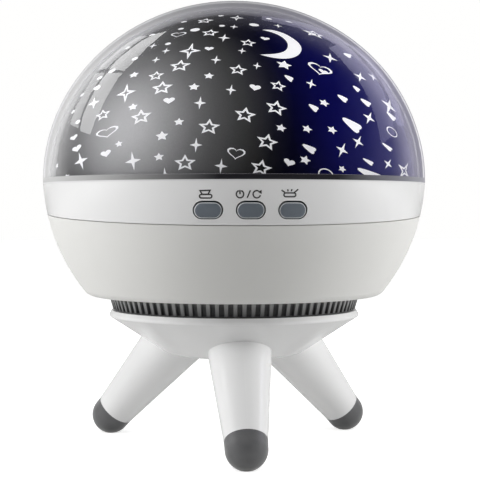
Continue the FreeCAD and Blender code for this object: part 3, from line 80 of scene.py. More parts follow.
camera = placed("camera", bpy.data.cameras.new("camera"))
bpy.context.scene.camera = camera
camera.location = TO_VIEWER * CAMERA_AWAY + Vector((0, 0, CAMERA_HEIGHT))
camera.rotation_euler = (math.radians(90), 0, CAMERA_TURN)
camera.data.lens = LENS_LENGTH
camera.data.shift_x, camera.data.shift_y = PICTURE_SHIFT
camera.data.clip_start = NEAREST_SEEN
bpy.context.view_layer.update()
print("camera at", tuple(camera.location))

# %% [markdown]
# ## Sighting through a pixel
#
# The figures on the dome are easiest to pick in the photograph. A pixel there is a line of
# sight here, and where that line meets the dome is where the figure belongs. The domes are
# half eggs: a ball, a little flattened. In a space squeezed by the egg's own sizes it is a
# plain ball, so meeting it with a line takes one square root. Blender's own ray_cast would
# also do it, but its small flat faces would give slightly wrong slopes for the mirror work
# that follows.

# %% Lines of sight
PHOTO_SIDE = 480
DOME_BASE = 86.3 * MM
COVER_EGG = (62.5 * MM, 58.7 * MM)
PRINT_EGG = (60.1 * MM, 56.3 * MM)
EGG_MIDDLE = Vector((0, 0, DOME_BASE))


def sight(pixel):
    """The direction from the camera through a pixel of the photograph."""
    lens = camera.data
    across = (pixel[0] - PHOTO_SIDE / 2) / PHOTO_SIDE + lens.shift_x
    up = (PHOTO_SIDE / 2 - pixel[1]) / PHOTO_SIDE + lens.shift_y
    reach = lens.sensor_width / lens.lens
    return (camera.matrix_world.to_3x3() @ Vector((across * reach, up * reach, -1))).normalized()


def squeezed(point, egg):
    radius, rise = egg
    return Vector((point.x / radius, point.y / radius, point.z / rise))


def seen_on_egg(pixel, egg):
    """Where the line of sight meets an egg, or where it passes nearest if it misses."""
    ray = sight(pixel)
    start, step = squeezed(camera.location - EGG_MIDDLE, egg), squeezed(ray, egg)
    half = start.dot(step) / step.length_squared
    spare = half * half - (start.length_squared - 1) / step.length_squared
    return camera.location + ray * (-half - math.sqrt(max(0, spare)))


def egg_slope(place, egg):
    """The direction straight out of an egg at a place on it."""
    return squeezed(squeezed(place - EGG_MIDDLE, egg), egg).normalized()


TRIAL_PIXEL = (234, 40)
trial = seen_on_egg(TRIAL_PIXEL, COVER_EGG)
print("the line through", TRIAL_PIXEL, "meets the clear dome at", tuple(round(v, 4) for v in trial))

# %% [markdown]
# ## Two small tools for nodes
#
# The finishes and the light of the room are both made of nodes. Two kinds of node come up
# again and again: a step of arithmetic, and a mix of two shaders by a share. Each takes four
# or five calls, so we wrap both once. A node group would be the other way, but it hides
# what is wired to what.

# %% Arithmetic and mixing
def math_node(tree, operation, first, second):
    """One step of arithmetic between two numbers, each typed in or wired in."""
    step = tree.nodes.new("ShaderNodeMath")
    step.operation = operation
    for socket, value in zip(step.inputs, (first, second)):
        if isinstance(value, (int, float)):
            socket.default_value = value
        else:
            tree.links.new(value, socket)
    return step.outputs[0]


def mix_shaders(tree, share, first, second):
    """The first shader, giving way to the second by a share."""
    blend = tree.nodes.new("ShaderNodeMixShader")
    for socket, wire in zip(blend.inputs, (share, first, second)):
        tree.links.new(wire, socket)
    return blend.outputs[0]


print("two tools for nodes are ready")

# %% [markdown]
# ## Daylight round the lamp
#
# The lamp stands in a white studio. The camera sees pure white behind it, which is a picture
# choice and not light: the Light Path node gives the camera a white of strength one, and
# leaves the light on the lamp as it is. The light itself is softer in front than behind, as
# when a dark camera side faces a room of pale walls. That is what makes the bowl greyer in
# its middle and paler at its sides. Glass and gloss must show the white room as well, so
# mirrored rays get it too, fading out towards the camera side and the ceiling.

# %% The room
FRONT_LIGHT = 0.128
BACK_LIGHT = 0.60
MIRROR_FRONT = 0.012
MIRROR_BACK, MIRROR_HIGH = 0.55, 0.15
LIGHT_FADE, MIRROR_FADE, CEILING_FADE = (-0.9, 0.6), (0.05, 0.80), (0.05, 0.60)
ROOM_TINT = (1.0, 0.998, 0.992, 1)

room = bpy.data.worlds.new("studio_room")
bpy.context.scene.world = room
room.use_nodes = True
studio = room.node_tree
wires, sky = studio.links, studio.nodes
sky.clear()
where_to = sky.new("ShaderNodeTexCoord")
heading = sky.new("ShaderNodeSeparateXYZ")
wires.new(where_to.outputs["Generated"], heading.inputs[0])


def room_fade(letter, reach, low, high):
    """A smooth change of strength along one axis of the room."""
    fade = sky.new("ShaderNodeMapRange")
    fade.interpolation_type = "SMOOTHSTEP"
    wires.new(heading.outputs[letter], fade.inputs["Value"])
    for name, value in zip(("From Min", "From Max", "To Min", "To Max"), (*reach, low, high)):
        fade.inputs[name].default_value = value
    return fade.outputs[0]


def room_light(strength=None):
    """Light from all round, of strength one unless another is wired in."""
    light = sky.new("ShaderNodeBackground")
    light.inputs["Color"].default_value = ROOM_TINT
    if strength is not None:
        wires.new(strength, light.inputs["Strength"])
    return light.outputs[0]


soft_light = room_light(room_fade("Y", LIGHT_FADE, FRONT_LIGHT, BACK_LIGHT))
wall_shine = room_fade("Y", MIRROR_FADE, MIRROR_FRONT, MIRROR_BACK)
less_above = room_fade("Z", CEILING_FADE, 1, MIRROR_HIGH)
mirrored_room = room_light(math_node(studio, "MULTIPLY", wall_shine, less_above))
white_wall = room_light()
print("room light runs from", FRONT_LIGHT, "in front to", BACK_LIGHT, "behind")

# %% [markdown]
# ## Which ray gets which light
#
# The room is asked for light by several kinds of ray. The camera, and rays that go straight
# on through clear plastic, get the white wall. Rays that come off a glossy skin get the
# mirrored room. All others carry the soft light. The depth of a ray tells whether it has
# bounced before, because a ray through the cover may have come off the table first.

# %% Share the light out
path = sky.new("ShaderNodeLightPath").outputs
bounces = math_node(studio, "ADD", path["Glossy Depth"], path["Diffuse Depth"])
not_bounced = math_node(studio, "SUBTRACT", 1, math_node(studio, "MINIMUM", bounces, 1))
through = math_node(studio, "MULTIPLY", path["Is Transmission Ray"], not_bounced)
seen = math_node(studio, "MAXIMUM", path["Is Camera Ray"], through)
after_mirror = math_node(studio, "MINIMUM", path["Glossy Depth"], 1)
still_clear = math_node(studio, "MULTIPLY", path["Is Transmission Ray"], after_mirror)
mirrored = math_node(studio, "MAXIMUM", path["Is Glossy Ray"], still_clear)

world_end = sky.new("ShaderNodeOutputWorld")
unseen = mix_shaders(studio, mirrored, soft_light, mirrored_room)
wires.new(mix_shaders(studio, seen, unseen, white_wall), world_end.inputs[0])
bpy.context.scene.view_settings.view_transform = "Standard"
print("the room has", len(sky), "nodes")

# %% [markdown]
# ## Three soft lamps
#
# A big lamp above the camera lights the tops of the legs and the upper band, and one at each
# side brightens the edges. They are large and near, so no hard shadow appears. Their own
# square shapes must not be mirrored in the clear dome, so they are kept out of gloss: what
# the dome mirrors is made separately in the next step.

# %% Hang the lamps
AIM = Vector((0, 0, 70 * MM))
LAMPS = {
    "key_lamp": ((-0.15, -0.60, 0.85), 0.5, 1.7),
    "left_lamp": ((-0.84, -0.15, 0.20), 0.6, 5.9),
    "right_lamp": ((0.84, -0.15, 0.20), 0.6, 6.1),
}


def hide_from(thing, *ray_kinds):
    """Keeps a thing out of what these kinds of ray meet."""
    for ray_kind in ray_kinds:
        setattr(thing, f"visible_{ray_kind}", False)


def soft_lamp(name, place, side, watts):
    """A square lamp, its side in metres, that shines at the lamp on the table."""
    lamp_data = bpy.data.lights.new(name, "AREA")
    lamp_data.size = side
    lamp_data.energy = watts
    hung = placed(name, lamp_data)
    hung.location = place
    hung.rotation_euler = (AIM - Vector(place)).to_track_quat("-Z", "Y").to_euler()
    hide_from(hung, "camera", "glossy", "transmission")


for name, (place, side, watts) in LAMPS.items():
    soft_lamp(name, place, side, watts)
print(len(LAMPS), "lamps hung")

# %% [markdown]
# ## The windows in the dome
#
# The shine on the clear dome is a window on the left, with one upright and one cross bar,
# and a fainter, taller one on the right. A painted shine would slide off when the lamp is
# turned, so real window panes are hung in the room and the dome mirrors them. To find where
# a pane has to hang, each corner of the shine is picked in the photograph, the line of sight
# is mirrored at the dome, and the corner goes a metre out along the mirrored line. Panes are
# seen by mirrored rays alone: they throw no light of their own on the lamp.

# %% Follow a mirrored line of sight
PANE_AWAY = 1.0


def mirrored_out(pixel):
    """Where something must hang for the clear dome to mirror it at this pixel."""
    place = seen_on_egg(pixel, COVER_EGG)
    slope = egg_slope(place, COVER_EGG)
    ray = sight(pixel)
    return place + (ray - 2 * ray.dot(slope) * slope) * PANE_AWAY


thrown = mirrored_out(TRIAL_PIXEL)
print("a pane for", TRIAL_PIXEL, "would hang at", tuple(round(v, 2) for v in thrown))

# %% [markdown]
# ## Panes that only a mirror sees
#
# A pane is a strip of faces with a plain light on it. It is hidden from the camera, from
# soft light and from shadows, so it shows in glossy skins alone and changes no brightness
# elsewhere. An area lamp would be the other way, but its outline can't follow picked edges.

# %% Make a pane
def pane_light(name, tint, strength):
    glow = bpy.data.materials.new(name)
    glow.use_nodes = True
    glow.node_tree.nodes.clear()
    shine = glow.node_tree.nodes.new("ShaderNodeEmission")
    shine.inputs["Color"].default_value = tint
    shine.inputs["Strength"].default_value = strength
    end = glow.node_tree.nodes.new("ShaderNodeOutputMaterial")
    glow.node_tree.links.new(shine.outputs[0], end.inputs[0])
    glow.cycles.emission_sampling = "NONE"
    return glow


def hang_pane(name, one_side, other_side, light):
    """A strip of panes between two edges, both picked from top to bottom in the photograph."""
    corners = [mirrored_out(p) for pair in zip(one_side, other_side) for p in pair]
    strips = [(i, i + 1, i + 3, i + 2) for i in range(0, len(corners) - 2, 2)]
    mesh = bpy.data.meshes.new(name)
    mesh.from_pydata([tuple(c) for c in corners], [], strips)
    mesh.materials.append(light)
    pane = placed(name, mesh)
    hide_from(pane, "camera", "diffuse", "transmission", "volume_scatter", "shadow")


print("a pane hangs", PANE_AWAY, "m from the dome")

# %% [markdown]
# ## The two windows
#
# The left window is the brighter one and white; its outer panes are dimmer. The right one
# is paler and a little lavender. Each pane is given by the corners of its mirror picture.

# %% Hang the window panes
WHITE_LIGHT, LAVENDER_LIGHT = (1, 1, 1, 1), (0.80, 0.78, 1, 1)
LEFT_STRENGTH, LEFT_EDGE_STRENGTH, RIGHT_STRENGTH = 4.9, 3.0, 1.5

left_light = pane_light("left_window", WHITE_LIGHT, LEFT_STRENGTH)
left_dim_light = pane_light("left_window_edge", WHITE_LIGHT, LEFT_EDGE_STRENGTH)
right_light = pane_light("right_window", LAVENDER_LIGHT, RIGHT_STRENGTH)
PANES = {
    "left_upper_inner_pane": (
        [(167, 31), (156, 40), (140, 55), (131, 64), (124, 71)],
        [(150, 36), (140, 42), (125, 53), (116, 61), (109, 69)],
        left_light,
    ),
    "left_lower_inner_pane": (
        [(123, 73), (112, 88), (102, 107), (93, 127), (90, 134)],
        [(107, 73), (99, 84), (90, 99), (82, 119), (80, 130)],
        left_light,
    ),
    "left_upper_outer_pane": (
        [(148, 36), (138, 42), (123, 53), (114, 61), (107, 69)],
        [(140, 36), (128, 43), (114, 54), (105, 62), (98, 70)],
        left_dim_light,
    ),
    "left_lower_outer_pane": (
        [(105, 73), (97, 84), (88, 99), (80, 119), (78, 128)],
        [(96, 73), (88, 86), (80, 99), (72, 118), (70, 125)],
        left_dim_light,
    ),
    "right_inner_pane": (
        [(329, 48), (346, 65), (360, 83), (370, 103), (377, 124), (381, 145)],
        [(345, 44), (359, 57), (372, 72), (384, 93), (391, 112), (394, 133)],
        right_light,
    ),
    "right_outer_pane": (
        [(350, 45), (362, 57), (376, 74), (387, 93), (394, 112), (397, 126)],
        [(358, 48), (369, 58), (382, 73), (393, 93), (401, 112), (404, 126)],
        right_light,
    ),
    "right_top_pane": (
        [(262, 20), (282, 24), (304, 30), (326, 39), (343, 49)],
        [(262, 16), (284, 19), (308, 24), (332, 34), (350, 45)],
        right_light,
    ),
}
for name, (one_side, other_side, light) in PANES.items():
    hang_pane(name, one_side, other_side, light)
print(len(PANES), "panes hung a metre out")

# %% [markdown]
# ## The table
#
# A plain pale table top under the feet catches the contact shadow and sends light up under
# the bowl. The camera gets a share of plain white on top of the lit surface, so the table
# melts into the white room and only the shadow stays. A white picture behind the lamp would
# hide the shadow and leave it floating. From below the table top is clear, so that the
# underside of the lamp can be looked at as well.

# %% Lay the table
TABLE_HALF = 3.0
TABLE_PALE = (0.74, 0.74, 0.735, 1)
CAMERA_WHITE = 0.70


def level_sheet(name, left, near, right, far, height=0.0):
    """A level rectangle of one face."""
    mesh = bpy.data.meshes.new(name)
    corners = ((left, near), (right, near), (right, far), (left, far))
    mesh.from_pydata([(*corner, height) for corner in corners], [], [(0, 1, 2, 3)])
    return placed(name, mesh)


table_top = level_sheet("table_top", -TABLE_HALF, -TABLE_HALF, TABLE_HALF, TABLE_HALF)

pale = bpy.data.materials.new("pale_table")
pale.use_nodes = True
pale_tree = pale.node_tree
pale_nodes, pale_wires = pale_tree.nodes, pale_tree.links
pale_nodes.clear()
lit = pale_nodes.new("ShaderNodeBsdfDiffuse")
lit.inputs["Color"].default_value = TABLE_PALE
extra = pale_nodes.new("ShaderNodeEmission")
extra.inputs["Color"].default_value = WHITE_LIGHT
eye = pale_nodes.new("ShaderNodeLightPath").outputs
also_glass = math_node(pale_tree, "MAXIMUM", eye["Is Camera Ray"], eye["Is Transmission Ray"])
pale_wires.new(math_node(pale_tree, "MULTIPLY", also_glass, CAMERA_WHITE), extra.inputs["Strength"])
both = pale_nodes.new("ShaderNodeAddShader")
pale_wires.new(lit.outputs[0], both.inputs[0])
pale_wires.new(extra.outputs[0], both.inputs[1])
from_below = pale_nodes.new("ShaderNodeNewGeometry").outputs["Backfacing"]
clear_below = pale_nodes.new("ShaderNodeBsdfTransparent")
table_skin = mix_shaders(pale_tree, from_below, both.outputs[0], clear_below.outputs[0])
pale_wires.new(table_skin, pale_nodes.new("ShaderNodeOutputMaterial").inputs[0])
table_top.data.materials.append(pale)
print("table laid,", 2 * TABLE_HALF, "metres wide")

# %% [markdown]
# ## A dark card
#
# The middle of the bowl and of the cap is darker than their sides, although the table is
# white. A photographer does this with a dark card in front, which swallows the light that
# the table would send up. The card is kept out of the picture and throws no shadow; only
# light on its way from the table to the lamp meets it.

# %% Lay the card
CARD = ((-0.11, -0.50), (0.11, -0.10))
CARD_HIGH = 1.5 * MM
FELT_GREY = (0.10, 0.10, 0.10, 1)

(card_left, card_near), (card_right, card_far) = CARD
dark_card = level_sheet("dark_card", card_left, card_near, card_right, card_far, CARD_HIGH)
felt = bpy.data.materials.new("dark_felt")
felt.use_nodes = True
felt_shader = felt.node_tree.nodes["Principled BSDF"]
felt_shader.inputs["Base Color"].default_value = FELT_GREY
felt_shader.inputs["Roughness"].default_value = 0.9
dark_card.data.materials.append(felt)
hide_from(dark_card, "camera", "glossy", "transmission", "volume_scatter", "shadow")
print("card laid,", round(card_right - card_left, 2), "metres wide")

# %% [markdown]
# ## A bench for finishes
#
# Every finish on the lamp is a Principled shader with patterns wired into its colour, its
# roughness and its relief. Patterns are measured on the object in metres, so a grain that
# is 0.3 mm wide is 0.3 mm wide on every part. Texture images would be the other way, but
# they need unwrapping, and moulded plastic has no picture on it. The small class below is
# the bench: it makes one material and gives each kind of wiring a short name.

# %% The bench
finishes = {}


class Finish:
    """One material, with short ways to wire a pattern into it. It is kept under its name."""

    def __init__(self, name, roughness=0.5, metal=0.0):
        self.material = bpy.data.materials.new(name)
        self.material.use_nodes = True
        finishes[name] = self.material
        self.tree = self.material.node_tree
        self.shader = self.tree.nodes["Principled BSDF"]
        self.shader.inputs["Roughness"].default_value = roughness
        self.shader.inputs["Metallic"].default_value = metal
        self.spot = self.tree.nodes.new("ShaderNodeTexCoord").outputs["Object"]

    def wire(self, start, end):
        self.tree.links.new(start, end)

    def set(self, **values):
        for name, value in values.items():
            self.shader.inputs[name.replace("_", " ")].default_value = value
        return self

    def stretched(self, stretch):
        frame_node = self.tree.nodes.new("ShaderNodeMapping")
        frame_node.inputs["Scale"].default_value = stretch
        self.wire(self.spot, frame_node.inputs["Vector"])
        return frame_node.outputs[0]

    def grain(self, size, detail=3, stretch=None):
        """Soft cloudy noise whose lumps are about this wide."""
        cloud = self.tree.nodes.new("ShaderNodeTexNoise")
        cloud.inputs["Scale"].default_value = 1 / size
        cloud.inputs["Detail"].default_value = detail
        self.wire(self.stretched(stretch) if stretch else self.spot, cloud.inputs["Vector"])
        return cloud.outputs["Fac"]

    def cells(self, size, feature="F1"):
        pattern = self.tree.nodes.new("ShaderNodeTexVoronoi")
        pattern.feature = feature
        pattern.inputs["Scale"].default_value = 1 / size
        self.wire(self.spot, pattern.inputs["Vector"])
        return pattern.outputs["Distance"]

    def spread(self, pattern, start, stop, low, high):
        """Stretches the part of a pattern from start to stop over low to high."""
        fade = self.tree.nodes.new("ShaderNodeMapRange")
        self.wire(pattern, fade.inputs["Value"])
        limits = {"From Min": start, "From Max": stop, "To Min": low, "To Max": high}
        for name, value in limits.items():
            fade.inputs[name].default_value = value
        return fade.outputs[0]

    def between(self, pattern, first, second):
        """A colour that goes from first to second with a pattern."""
        mix = self.tree.nodes.new("ShaderNodeMix")
        mix.data_type = "RGBA"
        self.wire(pattern, mix.inputs["Factor"])
        for socket, colour in zip((mix.inputs[6], mix.inputs[7]), (first, second)):
            if isinstance(colour, tuple):
                socket.default_value = (*colour, 1)
            else:
                self.wire(colour, socket)
        return mix.outputs[2]

    def paint(self, colour):
        self.wire(colour, self.shader.inputs["Base Color"])
        return self

    def gloss(self, pattern, smooth, rough):
        self.wire(self.spread(pattern, 0.3, 0.7, smooth, rough), self.shader.inputs["Roughness"])
        return self

    def relief(self, pattern, depth):
        bump = self.tree.nodes.new("ShaderNodeBump")
        bump.inputs["Distance"].default_value = depth
        self.wire(pattern, bump.inputs["Height"])
        self.wire(bump.outputs[0], self.shader.inputs["Normal"])
        return self

    def number(self, operation, first, second):
        """A number worked out from two others, such as their product."""
        return math_node(self.tree, operation, first, second)

    def axis(self, letter):
        parts = self.tree.nodes.new("ShaderNodeSeparateXYZ")
        self.wire(self.spot, parts.inputs[0])
        return parts.outputs[letter]


print("the bench is ready")

# %% [markdown]
# ## White plastics
#
# The band, the cap and the legs come out of a polished mould: bright, almost mirror smooth,
# with only the faint waves that cooling leaves. The bowl comes out of an etched mould, so
# it is silky and slightly warmer. One white for both would look like one casting; the
# roughness and the tint tell them apart. The colour wanders by a hundredth or two, as
# pigment does, which is enough to keep a large white surface from looking computed.

# %% Polished and silky white
polished = Finish("gloss_white")
polished.set(Coat_Weight=0.35, Coat_Roughness=0.06)
flow = polished.grain(34 * MM, 2)
polished.paint(polished.between(flow, (0.845, 0.845, 0.848), (0.885, 0.885, 0.885)))
polished.gloss(polished.grain(9 * MM), 0.17, 0.26).relief(polished.grain(1.6 * MM, 1), 0.004 * MM)

silky = Finish("satin_white")
drift = silky.grain(42 * MM, 2)
silky.paint(silky.between(drift, (0.785, 0.783, 0.762), (0.825, 0.823, 0.802)))
silky.gloss(silky.grain(14 * MM), 0.40, 0.50).relief(silky.grain(0.4 * MM, 2), 0.012 * MM)

inner = Finish("inner_white")
inner.paint(inner.between(inner.grain(18 * MM, 2), (0.70, 0.70, 0.68), (0.78, 0.78, 0.76)))
inner.gloss(inner.grain(5 * MM), 0.45, 0.60).relief(inner.grain(0.7 * MM, 2), 0.015 * MM)

slippery = Finish("gear_white")
slippery.set(Subsurface_Weight=0.08, Subsurface_Scale=0.8 * MM)
slippery.paint(slippery.between(slippery.grain(8 * MM), (0.74, 0.73, 0.68), (0.84, 0.83, 0.79)))
slippery.gloss(slippery.grain(3 * MM), 0.30, 0.42).relief(slippery.grain(0.5 * MM), 0.008 * MM)
print("whites:", sorted(finishes))

# %% [markdown]
# ## Greys that are touched
#
# The grip ring is matt grey plastic, the keys are a bluer grey with a soft skin, and the
# feet are rubber. Hands mark all three. The ring's colour follows the distance from the
# lamp's axis: it is dark in its grooves, which is painted shade, and pale on its rib crests,
# which is a painted highlight. The rubber is paler towards its bottom. Rubber is the
# roughest and has a fine pebble, which we take from a cell pattern instead of noise.

# %% Ring, keys and rubber
RIB_FLOOR = 39.6 * MM
RIB_CREST = 40.9 * MM
PALE_BOTTOM_HIGH = 1.6 * MM

ribbed = Finish("grip_grey")
from_axis = ribbed.tree.nodes.new("ShaderNodeVectorMath")
from_axis.operation = "LENGTH"
flat_spot = ribbed.stretched((1, 1, 0))
ribbed.wire(flat_spot, from_axis.inputs[0])
# painted shade dark in the grooves, painted highlight pale on the rib crests
groove_shade_crest_light = ribbed.spread(from_axis.outputs["Value"], RIB_FLOOR, RIB_CREST, 0, 1)
ribbed.paint(ribbed.between(groove_shade_crest_light, (0.052, 0.053, 0.055), (0.335, 0.335, 0.335)))
ribbed.gloss(ribbed.grain(4 * MM), 0.42, 0.58).relief(ribbed.grain(0.3 * MM), 0.012 * MM)

key_skin = Finish("button_grey")
key_skin.set(Sheen_Weight=0.25, Sheen_Roughness=0.4)
touched = key_skin.between(key_skin.grain(2.5 * MM), (0.125, 0.148, 0.175), (0.165, 0.190, 0.222))
key_skin.paint(touched)
key_skin.gloss(key_skin.grain(1.2 * MM), 0.38, 0.50).relief(key_skin.cells(0.25 * MM), 0.006 * MM)

rubber = Finish("foot_rubber")
rubber.set(Sheen_Weight=0.5, Sheen_Roughness=0.4)
smudge = rubber.between(rubber.grain(3.5 * MM), (0.095, 0.096, 0.099), (0.140, 0.141, 0.145))
# paler towards the bottom, up to 1.6 mm above the table
paler_at_bottom = rubber.spread(rubber.axis("Z"), 0, PALE_BOTTOM_HIGH, 1, 0)
rubber.paint(rubber.between(paler_at_bottom, smudge, (0.24, 0.235, 0.225)))
rubber.gloss(rubber.grain(2 * MM), 0.30, 0.44).relief(rubber.cells(0.45 * MM), 0.02 * MM)
print("greys added:", len(finishes), "finishes so far")

# %% [markdown]
# ## The clear cover
#
# The cover is a clear plastic wall 1.6 mm thick. Three things are seen in it: what lies
# behind, the room mirrored in its skin, and a milky haze at the rim, where we look along the
# wall. The haze is painted sheen: greyish white, turning lavender on the right, it stands in
# for the room mirrored at a grazing angle. Each is one shader, and the angle of sight mixes
# them. A real wall also bends the print outwards until it fills the rim; we give the last
# strip of the haze the colour of the print instead, with a painted highlight in pale grey on
# the left and painted lavender sheen on the right, and a painted highlight line just inside
# the edge, where the wall's own thickness draws a fine light line. The foot of the cover,
# round the seat, is printed dark like the sky inside, so that the white seat does not show,
# with the same painted highlight on the left and painted sheen on the right; only its last
# half millimetre is bare and frosted, painted pale as a highlight line on the band.
# Refraction would be the other way, but a path tracer can't aim a lamp through it, and all
# inside would turn dark and grainy. A thin wall hardly bends light, so we leave it out.
# Hair scratches in the roughness catch the light where hands lift the cover.

# %% Clear plastic
HAZE_START, HAZE_FULL = 0.47, 0.84
EDGE_START, EDGE_FULL = 0.68, 0.77
HAZE_SHARE, EDGE_SHARE, SEAT_SHARE = 0.38, 0.86, 0.96
LINE_INSIDE, LINE_OUTSIDE = (0.845, 0.875), (0.91, 0.93)
MIRROR_MOST = 0.11
PLASTIC_IOR = 1.47
SEAT_TOP, SEAT_LINE = 87.1 * MM, 85.5 * MM
SEAT_BLUR, LINE_BLUR = 0.2 * MM, 0.1 * MM
BLUE_REACH = (-50 * MM, 45 * MM)
SEAT_DARKENS, SEAT_GREYS = (-58 * MM, -4 * MM), (30 * MM, 60 * MM)
HAZE_FADES, HAZE_AT_TOP = (110 * MM, 138 * MM), 0.20
MILK_GREY, MILK_WHITE, LAVENDER_SHEEN = (0.84, 0.84, 0.85), (0.92, 0.92, 0.93), (0.44, 0.42, 0.54)
EDGE_GREY, EDGE_BLUE, RIM_HIGHLIGHT = (0.68, 0.68, 0.685), (0.20, 0.19, 0.27), (0.90, 0.90, 0.93)
FOOT_LEFT, FOOT_DARK, FOOT_RIGHT = (0.62, 0.62, 0.62), (0.010, 0.010, 0.014), (0.30, 0.30, 0.35)
FOOT_HIGHLIGHT = (0.80, 0.80, 0.81)

clear = Finish("clear_dome", roughness=0.35)
nodes = clear.tree.nodes
dot_right = nodes.new("ShaderNodeVectorMath")
dot_right.operation = "DOT_PRODUCT"
clear.wire(clear.spot, dot_right.inputs[0])
dot_right.inputs[1].default_value = VIEW_RIGHT
to_the_right = dot_right.outputs["Value"]
blue_side = clear.spread(to_the_right, *BLUE_REACH, 0, 1)
# painted sheen at the rim: greyish white, turning lavender towards the right
sheen_and_print_colour = clear.between(clear.grain(25 * MM, 2), MILK_GREY, MILK_WHITE)
sheen_and_print_colour = clear.between(blue_side, sheen_and_print_colour, LAVENDER_SHEEN)
along_wall = nodes.new("ShaderNodeLayerWeight")
along_wall.inputs["Blend"].default_value = 0.5
slant = along_wall.outputs["Facing"]
at_edge = clear.spread(slant, EDGE_START, EDGE_FULL, 0, 1)
# print colour at the rim, with painted highlight on the left and painted lavender sheen on the
# right
edge_print_and_highlights = clear.between(blue_side, EDGE_GREY, EDGE_BLUE)
# painted highlight: a fine pale line just inside the rim
line_in = clear.spread(slant, *LINE_INSIDE, 0, 1)
line_out = clear.spread(slant, *LINE_OUTSIDE, 1, 0)
painted_rim_line = clear.number("MULTIPLY", line_in, line_out)
edge_print_and_highlights = clear.between(painted_rim_line, edge_print_and_highlights, RIM_HIGHLIGHT)
sheen_and_print_colour = clear.between(at_edge, sheen_and_print_colour, edge_print_and_highlights)
to_middle = clear.spread(to_the_right, *SEAT_DARKENS, 0, 1)
from_middle = clear.spread(to_the_right, *SEAT_GREYS, 0, 1)
# dark print at the foot, with painted highlight on the left and painted lavender sheen on the right
seat_print_and_highlight = clear.between(to_middle, FOOT_LEFT, FOOT_DARK)
seat_print_and_highlight = clear.between(from_middle, seat_print_and_highlight, FOOT_RIGHT)
height_up = clear.axis("Z")
on_seat = clear.spread(height_up, SEAT_TOP, SEAT_TOP - SEAT_BLUR, 0, 1)
# painted highlight: a pale line along the last half millimetre of the foot
on_line = clear.spread(height_up, SEAT_LINE, SEAT_LINE - LINE_BLUR, 0, 1)
foot = clear.between(on_line, seat_print_and_highlight, FOOT_HIGHLIGHT)
clear.paint(clear.between(on_seat, sheen_and_print_colour, foot))
print("the rim line lies from", LINE_INSIDE[0], "to", LINE_OUTSIDE[1], "of the slant")

# %% [markdown]
# ## How milky, how shiny
#
# The colours above show only where the cover is milky. That follows the angle of sight: not
# at all in the middle, a little towards the rim, mostly in the last strip, and nearly fully
# on the printed foot. The mirror follows Fresnel's law, yet is held under a limit, since the
# rim of the dome in the photograph mirrors little. Of the near wall only the outer skin
# mirrors; with the inner one as well, every window would show twice.

# %% Mix the cover
see_through = nodes.new("ShaderNodeBsdfTransparent")
see_through.inputs["Color"].default_value = (0.965, 0.965, 0.972, 1)
skin = nodes.new("ShaderNodeBsdfGlossy")
hairs = clear.grain(2.2 * MM, 4, stretch=(1, 1, 0.12))
clear.wire(clear.spread(hairs, 0.66, 0.80, 0.008, 0.035), skin.inputs["Roughness"])

haze = clear.spread(slant, HAZE_START, HAZE_FULL, 0, HAZE_SHARE)
haze.node.interpolation_type = "SMOOTHSTEP"
low_haze = clear.number("MULTIPLY", haze, clear.spread(height_up, *HAZE_FADES, 1, HAZE_AT_TOP))
edge_haze = clear.spread(slant, EDGE_START, EDGE_FULL, 0, EDGE_SHARE)
seat = clear.spread(height_up, SEAT_TOP, SEAT_TOP - SEAT_BLUR, 0, SEAT_SHARE)
sheen_and_print_share = clear.number("MAXIMUM", clear.number("MAXIMUM", low_haze, edge_haze), seat)
outside = nodes.new("ShaderNodeNewGeometry")
skin_only = clear.spread(outside.outputs["Backfacing"], 0, 1, 1, 0)
bounce_back = nodes.new("ShaderNodeFresnel")
bounce_back.inputs["IOR"].default_value = PLASTIC_IOR
calm = clear.number("MINIMUM", bounce_back.outputs[0], MIRROR_MOST)
mirror = clear.number("MULTIPLY", calm, skin_only)
wall = mix_shaders(clear.tree, sheen_and_print_share, see_through.outputs[0], clear.shader.outputs[0])
cover = mix_shaders(clear.tree, mirror, wall, skin.outputs[0])
clear.wire(cover, nodes["Material Output"].inputs["Surface"])
print("the cover turns milky from", HAZE_START, "to", HAZE_FULL)

# %% [markdown]
# ## Lens and lamps
#
# The cap over the lights is small and thick, so here real refraction is worth its price. A
# lamp still can't be aimed through it; for shadow rays alone it is therefore plain
# see-through. The lights are clear epoxy with a yellow phosphor core.

# %% Lens and epoxy
def let_lamps_through(finish):
    """Adds the see-through way for shadow rays to a clear finish."""
    shadow_ray = finish.tree.nodes.new("ShaderNodeLightPath").outputs["Is Shadow Ray"]
    through = finish.tree.nodes.new("ShaderNodeBsdfTransparent")
    through.inputs["Color"].default_value = (0.94, 0.94, 0.95, 1)
    let_by = mix_shaders(finish.tree, shadow_ray, finish.shader.outputs[0], through.outputs[0])
    finish.wire(let_by, finish.tree.nodes["Material Output"].inputs["Surface"])


lens = Finish("lens_clear", roughness=0.05)
lens.set(IOR=1.49, Transmission_Weight=1.0)
lens.paint(lens.between(lens.grain(6 * MM), (0.93, 0.95, 0.97), (0.98, 0.99, 0.99)))
lens.relief(lens.grain(4 * MM, 1), 0.01 * MM)
let_lamps_through(lens)

led_epoxy = Finish("led_clear", roughness=0.15)
led_epoxy.set(IOR=1.54, Transmission_Weight=0.6)
core = led_epoxy.cells(1.6 * MM)
phosphor = led_epoxy.spread(core, 0.0, 0.7, 0, 1)
led_epoxy.paint(led_epoxy.between(phosphor, (0.95, 0.85, 0.45), (0.9, 0.92, 0.95)))
led_epoxy.relief(led_epoxy.grain(0.8 * MM), 0.01 * MM)
print("clear finishes:", [name for name in finishes if "clear" in name])

